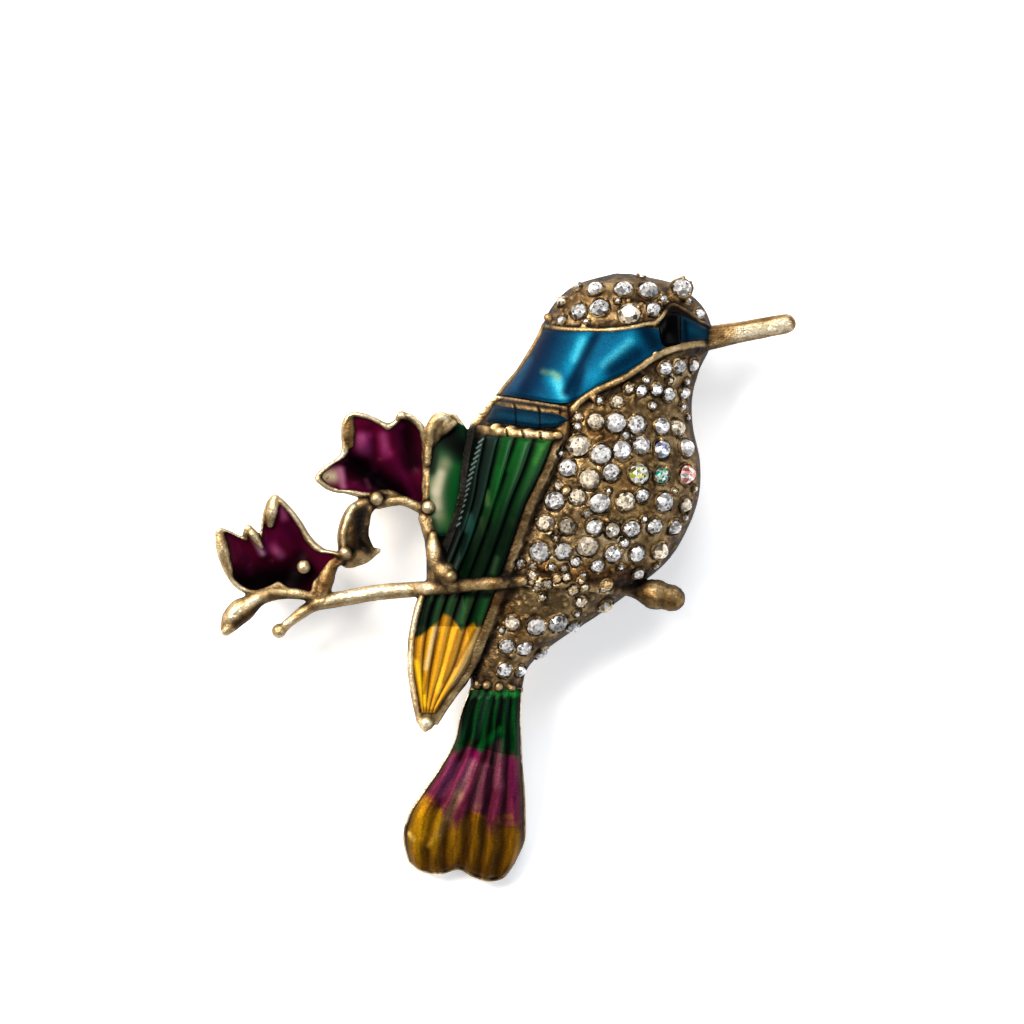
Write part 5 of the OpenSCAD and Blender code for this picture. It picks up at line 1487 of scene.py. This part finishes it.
upper, lower = [line_points(edge, 150) for edge in COLLAR_EDGES]
down = np.linspace(0, 1, 30)[:, None]
x, y = mix(upper[0], lower[0], down), mix(upper[1], lower[1], down)
top = points(x, y, wing_surface(x, y) + ENAMEL_T)
tint = painted("#034568", top, [
    (500, 415, 556, 424, 5, "#0a6a90", 0.7), (515, 405, 516, 424, 1.6, "#010c18", 0.95),
    (539, 408, 540, 428, 1.6, "#010c18", 0.95), (556, 423, 566, 424, 6, "#085c80", 0.5)])
make_fill("collar_fill", [(top, tint)], SHINY, "collar_enamel", 0.2)

# Strokes of the leaf: its greens, the ivory patch on its left as a painted reflection, painted shadow at its
# top under the gold loop, and a dark line beside its left rim
LEAF_STROKES = [
    (456, 468, 452, 520, 12, "#0c5a24", 0.85), (446, 520, 452, 536, 9, "#2c6a2a", 0.6),
    (446, 458, 437, 484, 16, "#566c48", 0.7), (437, 484, 440, 522, 16, "#566c48", 0.7),
    (445, 464, 436, 486, 11, "#8f8f72", 0.7), (436, 486, 438, 514, 12, "#8f8f72", 0.7),
    (441, 474, 436, 492, 8, "#cbc4ae", 0.7), (436, 492, 437, 506, 8, "#c0b8a2", 0.6),
    (440, 430, 462, 448, 20, "#020503", 1), (434, 446, 431, 470, 8, "#0a120a", 0.9),
    (432, 522, 436, 540, 7, "#14200f", 0.8),
]
LEAF_ENAMEL = enamel_material("leaf_enamel", 0.0, 0.6, 0.05, coat=0.0, shine=0.05)
down, across = grid((0, 1, 110), (-0.84, 1.0, 50))
top = leaf_point(mix(0.035 + 0.05 * across**2, 0.8, down), across, ENAMEL_T)
make_fill("leaf_fill", [(top, painted("#05301a", top, LEAF_STROKES))],
          LEAF_ENAMEL, "leaf_enamel", 0.8)


# The tail's fills

# Where its colours meet, in pixels: across and down
GREEN_END = [(440, 746), (470, 749), (490, 752), (505, 756), (525, 760)]
PURPLE_END = [(405, 798), (430, 806), (445, 826), (470, 822), (500, 822), (525, 836)]
# Strokes on the tail: painted highlights along the green top band and on the yellow's left lobe, pale streaks
# along the purple ribs, dark lines in the grooves, and painted shade at the yellow's lower end
TAIL_STROKES = [
    (492, 691, 520, 695, 6, "#0a8430", 0.85), (470, 700, 452, 748, 8, "#010503", 0.9),
    (486, 700, 476, 738, 5, "#3a6456", 0.5), (503, 700, 491, 764, 5, "#010704", 0.85),
    (500, 730, 480, 748, 7, "#0d8234", 0.7), (518, 700, 521, 745, 5, "#02140a", 0.7),
    (474, 754, 462, 778, 9, "#8c1258", 0.9), (455, 765, 440, 795, 9, "#7a3a66", 0.7),
    (471, 764, 458, 796, 10, "#b08484", 0.65), (458, 796, 440, 836, 9, "#b89068", 0.6),
    (484, 768, 476, 808, 9, "#946068", 0.55), (499, 744, 498, 786, 9, "#9c6070", 0.55),
    (510, 760, 514, 800, 6, "#5e0f40", 0.7), (488, 770, 484, 815, 5, "#2a0a1c", 0.7),
    (424, 806, 418, 834, 16, "#e0a010", 0.85), (408, 836, 413, 842, 4, "#ffe08a", 0.7),
    (436, 838, 428, 848, 5, "#d0a438", 0.6), (516, 838, 516, 866, 8, "#a8740e", 0.6),
    (440, 868, 512, 878, 14, "#3a2206", 0.5), (446, 826, 436, 866, 5, "#4a2c06", 0.6),
    (470, 826, 466, 862, 5, "#40260a", 0.6), (494, 824, 494, 868, 6, "#4a2c06", 0.5),
    (456, 840, 452, 866, 6, "#8a5c10", 0.6), (410, 812, 404, 840, 3, "#2a1806", 0.7),
]

# How far each rib's colours are shifted down the tail, in pixels
RIB_SHIFTS = [(-1, 0), (-0.8, -4), (-0.5, 6), (-0.15, -3), (0.15, 5), (0.45, -4), (0.8, 3), (1, 0)]


def tail_tint(top, q, s):
    """Green, purple and yellow down the tail with ragged borders, darker between the ribs. The yellow is
    painted lighter on the left and darker to the right and towards the tip, as painted light and shade
    """
    px, py = pixels_of(top)
    crest = smooth(0.0, 1.0, saw(q, SEEN_RIBS, RIB_PEAK)[0])[..., None]
    green = mix(colour("#020c06"), colour("#08501f"), crest)
    purple = mix(colour("#2a0a16"), colour("#782644"), crest)
    amber = mix(colour("#c08a0c"), colour("#96640a"), smooth(440, 470, px)[..., None])
    yellow = mix(colour("#4a2e04"), mix(amber, colour("#7a5208"), smooth(830, 880, py)[..., None]), crest)
    ragged = 5.0 * lumps(top * [1, 1, 0], 0.5, 31)
    ragged = ragged + 1.5 * np.interp(q, *zip(*RIB_SHIFTS))
    tint = mix(green, purple, smooth(-6, 6, py - np.interp(px, *zip(*GREEN_END)) + 0.5 * ragged)[..., None])
    tint = mix(tint, yellow, smooth(-12, 12, py - np.interp(px, *zip(*PURPLE_END)) + 1.5 * ragged)[..., None])
    # Fine streaks run down the ribs
    streaks = 1 + 0.4 * lumps(points(q * 3.0, s * 1.5, 0), 0.11, 41)
    tint = painted(tint, top, TAIL_STROKES) * streaks[..., None]
    return mix(tint, colour("#140b04"), 0.8 * smooth(0.94, 1.0, np.abs(q))[..., None])


def tail_grid(span, first, last, rows):
    """Face and tint of a fill on the tail, between slanting borders"""
    t, q = grid((first, last, rows), (-1.0, 1.0, 140))
    s = mix(span[0], span[1], t) + mix(span[2], span[3], t) * q
    top = points(*tail_xy(s, 0.965 * q), tail_point(s, q, ENAMEL_T)[..., 2])
    return top, tail_tint(top, q + 0 * s, s)


TAIL_ENAMEL = enamel_material("tail_enamel", 0.3, 0.42, 0.26, 0.14, coat=0.03, shine=0.05)
for name, span, steps, closed, depth in (
        ("tail_green", TAIL_SPANS[0], (-0.12, 1.03, 70), ("left", "right"), 0.5),
        ("tail_purple", TAIL_SPANS[1], (-0.012, 1.02, 85), ("left", "right"), 0.95),
        ("tail_yellow", TAIL_SPANS[2], (-0.012, 1.07, 85), ("left", "right", "bottom"), 0.7)):
    make_fill(name + "_fill", [(*tail_grid(span, *steps), closed)],
              TAIL_ENAMEL, name + "_enamel", depth)


# The flowers' fills

# Strokes of the petals: pink painted highlights and glints, painted shade in their folds and in large dark
# zones, and gold at the upper flower's rolled tip
UPPER_PETALS = [
    (405, 428, 412, 462, 22, "#12010a", 0.85), (352, 422, 352, 440, 9, "#6a1040", 0.5),
    (361, 438, 360, 452, 11, "#ff78c4", 0.8), (369, 436, 368, 452, 6, "#a02a70", 0.7),
    (383, 436, 386, 454, 9, "#d85ca4", 0.7), (388, 455, 400, 476, 10, "#7a1250", 0.6),
    (354, 464, 404, 499, 30, "#080004", 1), (404, 474, 414, 498, 9, "#5c0838", 0.6),
    (318, 477, 333, 476, 14, "#ffe9c0", 1), (340, 470, 343, 486, 7, "#e890b8", 0.9),
    (350, 484, 366, 492, 8, "#6c0c42", 0.7), (366, 480, 369, 487, 5, "#8a5568", 0.5),
    (397, 418, 401, 426, 6, "#6a0c44", 0.6), (372, 440, 374, 470, 6, "#3a0424", 0.6),
    (396, 424, 398, 450, 8, "#5a0838", 0.5),
]
LOWER_PETALS = [
    (251, 531, 262, 553, 7, "#ffc4e8", 1), (272, 546, 280, 556, 9, "#ff84c8", 0.8),
    (282, 505, 284, 518, 8, "#ff78c0", 0.8), (266, 542, 290, 532, 15, "#7c0c4e", 0.7),
    (238, 584, 296, 578, 34, "#080004", 1), (300, 556, 306, 575, 14, "#14010a", 0.8),
    (228, 540, 233, 560, 6, "#7a2c4c", 0.7), (270, 596, 276, 601, 7, "#5c2840", 0.5),
    (244, 556, 250, 572, 8, "#4a0630", 0.6), (286, 524, 298, 545, 9, "#4a0630", 0.5),
]


def make_flower(name, form, strokes, depth):
    """The enamel of a flower: rings of points round its middle"""
    angle = np.linspace(-180, 180, 220, endpoint=False)[None]
    share = np.linspace(0, 1, 46)[:, None]**0.8
    top = form(angle, np.maximum(share, 0.02), RIM_W * 0.7 * smooth(0.3, 1.0, share), ENAMEL_T * 0.9)
    tint = mix(painted("#720a36", top, strokes), colour("#1c0210"), 0.5 * smooth(0.86, 1.0, share)[..., None])
    top[-1, :, 2] -= 0.15
    skin = Skin()
    skin.add_rings(np.concatenate([top, top[::-1] - [0, 0, 0.4]]))
    piece = make_object(name + "_petals", skin, 50)
    middle = tint[0].mean(axis=0)[None]
    set_tint(piece, np.concatenate([tint.reshape(-1, 3), tint[::-1].reshape(-1, 3), middle, middle]) * depth)
    dress(piece, name + "_flower_enamel", PETAL)


PETAL = enamel_material("petal_enamel", 0.25, 0.38, 0.08, coat=0.0, shine=0.02)
make_flower("upper", UPPER_FORM, UPPER_PETALS, 0.42)
make_flower("lower", LOWER_FORM, LOWER_PETALS, 0.27)


# The pin fitting behind the casting

PIN_AT = on_body(0.005, 0.41)


def add_block(skin, low, high, bevel=0.12):
    """A block with rounded upright edges and bevelled faces"""
    low, high = np.asarray(low, float), np.asarray(high, float)

    def outline(inset, z):
        a, b, r = low[:2] + inset, high[:2] - inset, bevel * 1.6
        loop = []
        for k, corner in enumerate(([b[0], b[1]], [a[0], b[1]], [a[0], a[1]], [b[0], a[1]])):
            middle = corner - r * np.sign(corner - (a + b) / 2)
            for t in np.radians([0, 30, 60, 90]) + np.radians(90 * k):
                loop.append([middle[0] + r * np.cos(t), middle[1] + r * np.sin(t), z])
        return loop

    skin.add_rings([outline(bevel, low[2]), outline(0, low[2] + bevel),
                    outline(0, high[2] - bevel), outline(bevel, high[2])])


def make_pin():
    """One closed piece, with all its parts run into each other"""
    skin = Skin()
    bar_z = -FIT_GAP - BAR_T
    half = BAR_LEN / 2 - PLATE_T
    wire_z = WIRE_D * 1.2 - BACK_Z
    x0, y0 = PIN_AT
    # Bar, post, wire and the foot of the catch
    add_block(skin, [x0 - BAR_LEN / 2, y0 - BAR_W / 2, bar_z],
              [x0 + BAR_LEN / 2, y0 + BAR_W / 2, bar_z + BAR_T])
    add_block(skin, [x0 - half - PLATE_T, y0 - BAR_W / 2, -BACK_Z],
              [x0 - half + PLATE_T, y0 + BAR_W / 2, bar_z + BAR_T / 2])
    along = np.linspace(-half, half + PLATE_T * 0.4, 30)
    thin = np.interp(along, [half - 1.4, half + PLATE_T * 0.4], [1, 0.45])
    skin.add_limb(points(x0 + along, y0, wire_z), WIRE_D / 2 * thin, sides=20)
    plate, foot = x0 + half - PLATE_T / 2, y0 + WIRE_D * 0.6
    add_block(skin, [plate, foot, wire_z], [plate + PLATE_T, foot + PLATE_T, bar_z + BAR_T / 2])
    # Hook of the catch
    inner, outer, edge = WIRE_D / 2 + FIT_GAP, WIRE_D * 1.2, 0.08
    section = ((inner, edge), (inner, PLATE_T - edge), (inner + edge, PLATE_T), (outer - edge, PLATE_T),
               (outer, PLATE_T - edge), (outer, edge), (outer - edge, 0), (inner + edge, 0))
    skin.add_rings([[np.array([plate, y0, wire_z]) + np.array([0, np.cos(turn), np.sin(turn)]) * r + [x, 0, 0]
                     for r, x in section] for turn in np.radians(np.linspace(-180, 90, 40))])
    piece = make_object("pin_fitting", skin, 35)
    set_wear_and_shade(piece, 0.6 + 0.2 * lumps(corners_of(piece), 1.5, 17))
    dress(piece, "pin_back", gilt_material("pin_metal", PIN_STOPS, (0.42, 0.26), 0.012))


make_pin()


# Floor, light and camera

VIEW_MIDDLE = spot(512, 512)
FRAME_WIDTH = 1024 * PIXEL
LENS, SENSOR = 200.0, 36.0
FRONT_LEVEL = 7.0
FLOOR_REACH = 1.6
LIGHTS_AIM = (0, 0.006, 0.006)

# Square softboxes that look at the brooch: name, place and size in metres, watts, colour
SOFTBOXES = [
    ("key_softbox", (-0.36, 0.26, 0.44), 0.3, 6, "#fff4e6"),
    ("upper_softbox", (0.02, 0.42, 0.42), 0.24, 1.5, "#ffffff"),
    ("right_fill", (0.42, -0.1, 0.34), 0.24, 0.9, "#eaf0ff"),
]


def add_to_scene(name, data):
    thing = bpy.data.objects.new(name, data)
    bpy.context.scene.collection.objects.link(thing)
    return thing


mesh = bpy.data.meshes.new("floor")
mesh.from_pydata([(x * FLOOR_REACH, y * FLOOR_REACH, 0) for x, y in ((-1, -1), (1, -1), (1, 1), (-1, 1))],
                 [], [(0, 1, 2, 3)])
mesh.materials.append(new_material("floor_paper", Roughness=0.8, Base_Color=(0.9, 0.9, 0.9, 1),
                                   Emission_Color=(1, 1, 1, 1), Emission_Strength=0.5)[0])
add_to_scene("floor", mesh)

for name, position, size, watts, tone in SOFTBOXES:
    data = bpy.data.lights.new(name, "AREA")
    data.shape, data.size, data.energy, data.color = "SQUARE", size, watts, colour(tone)
    light = add_to_scene(name, data)
    light.location = position
    light.rotation_euler = (Vector(LIGHTS_AIM) - light.location).to_track_quat("-Z", "Y").to_euler()

world = bpy.data.worlds.new("studio")
world.use_nodes = True
world.node_tree.nodes["Background"].inputs["Color"].default_value = (0.9, 0.95, 1.0, 1)
world.node_tree.nodes["Background"].inputs["Strength"].default_value = 0.12
bpy.context.scene.world = world
bpy.context.scene.view_settings.view_transform = "Standard"

data = bpy.data.cameras.new("camera")
data.lens, data.sensor_width = LENS, SENSOR
data.clip_start, data.clip_end = 0.01, 10
camera = add_to_scene("camera", data)
camera.location = (VIEW_MIDDLE[0] * MM, VIEW_MIDDLE[1] * MM, (FRAME_WIDTH * LENS / SENSOR + FRONT_LEVEL) * MM)
bpy.context.scene.camera = camera
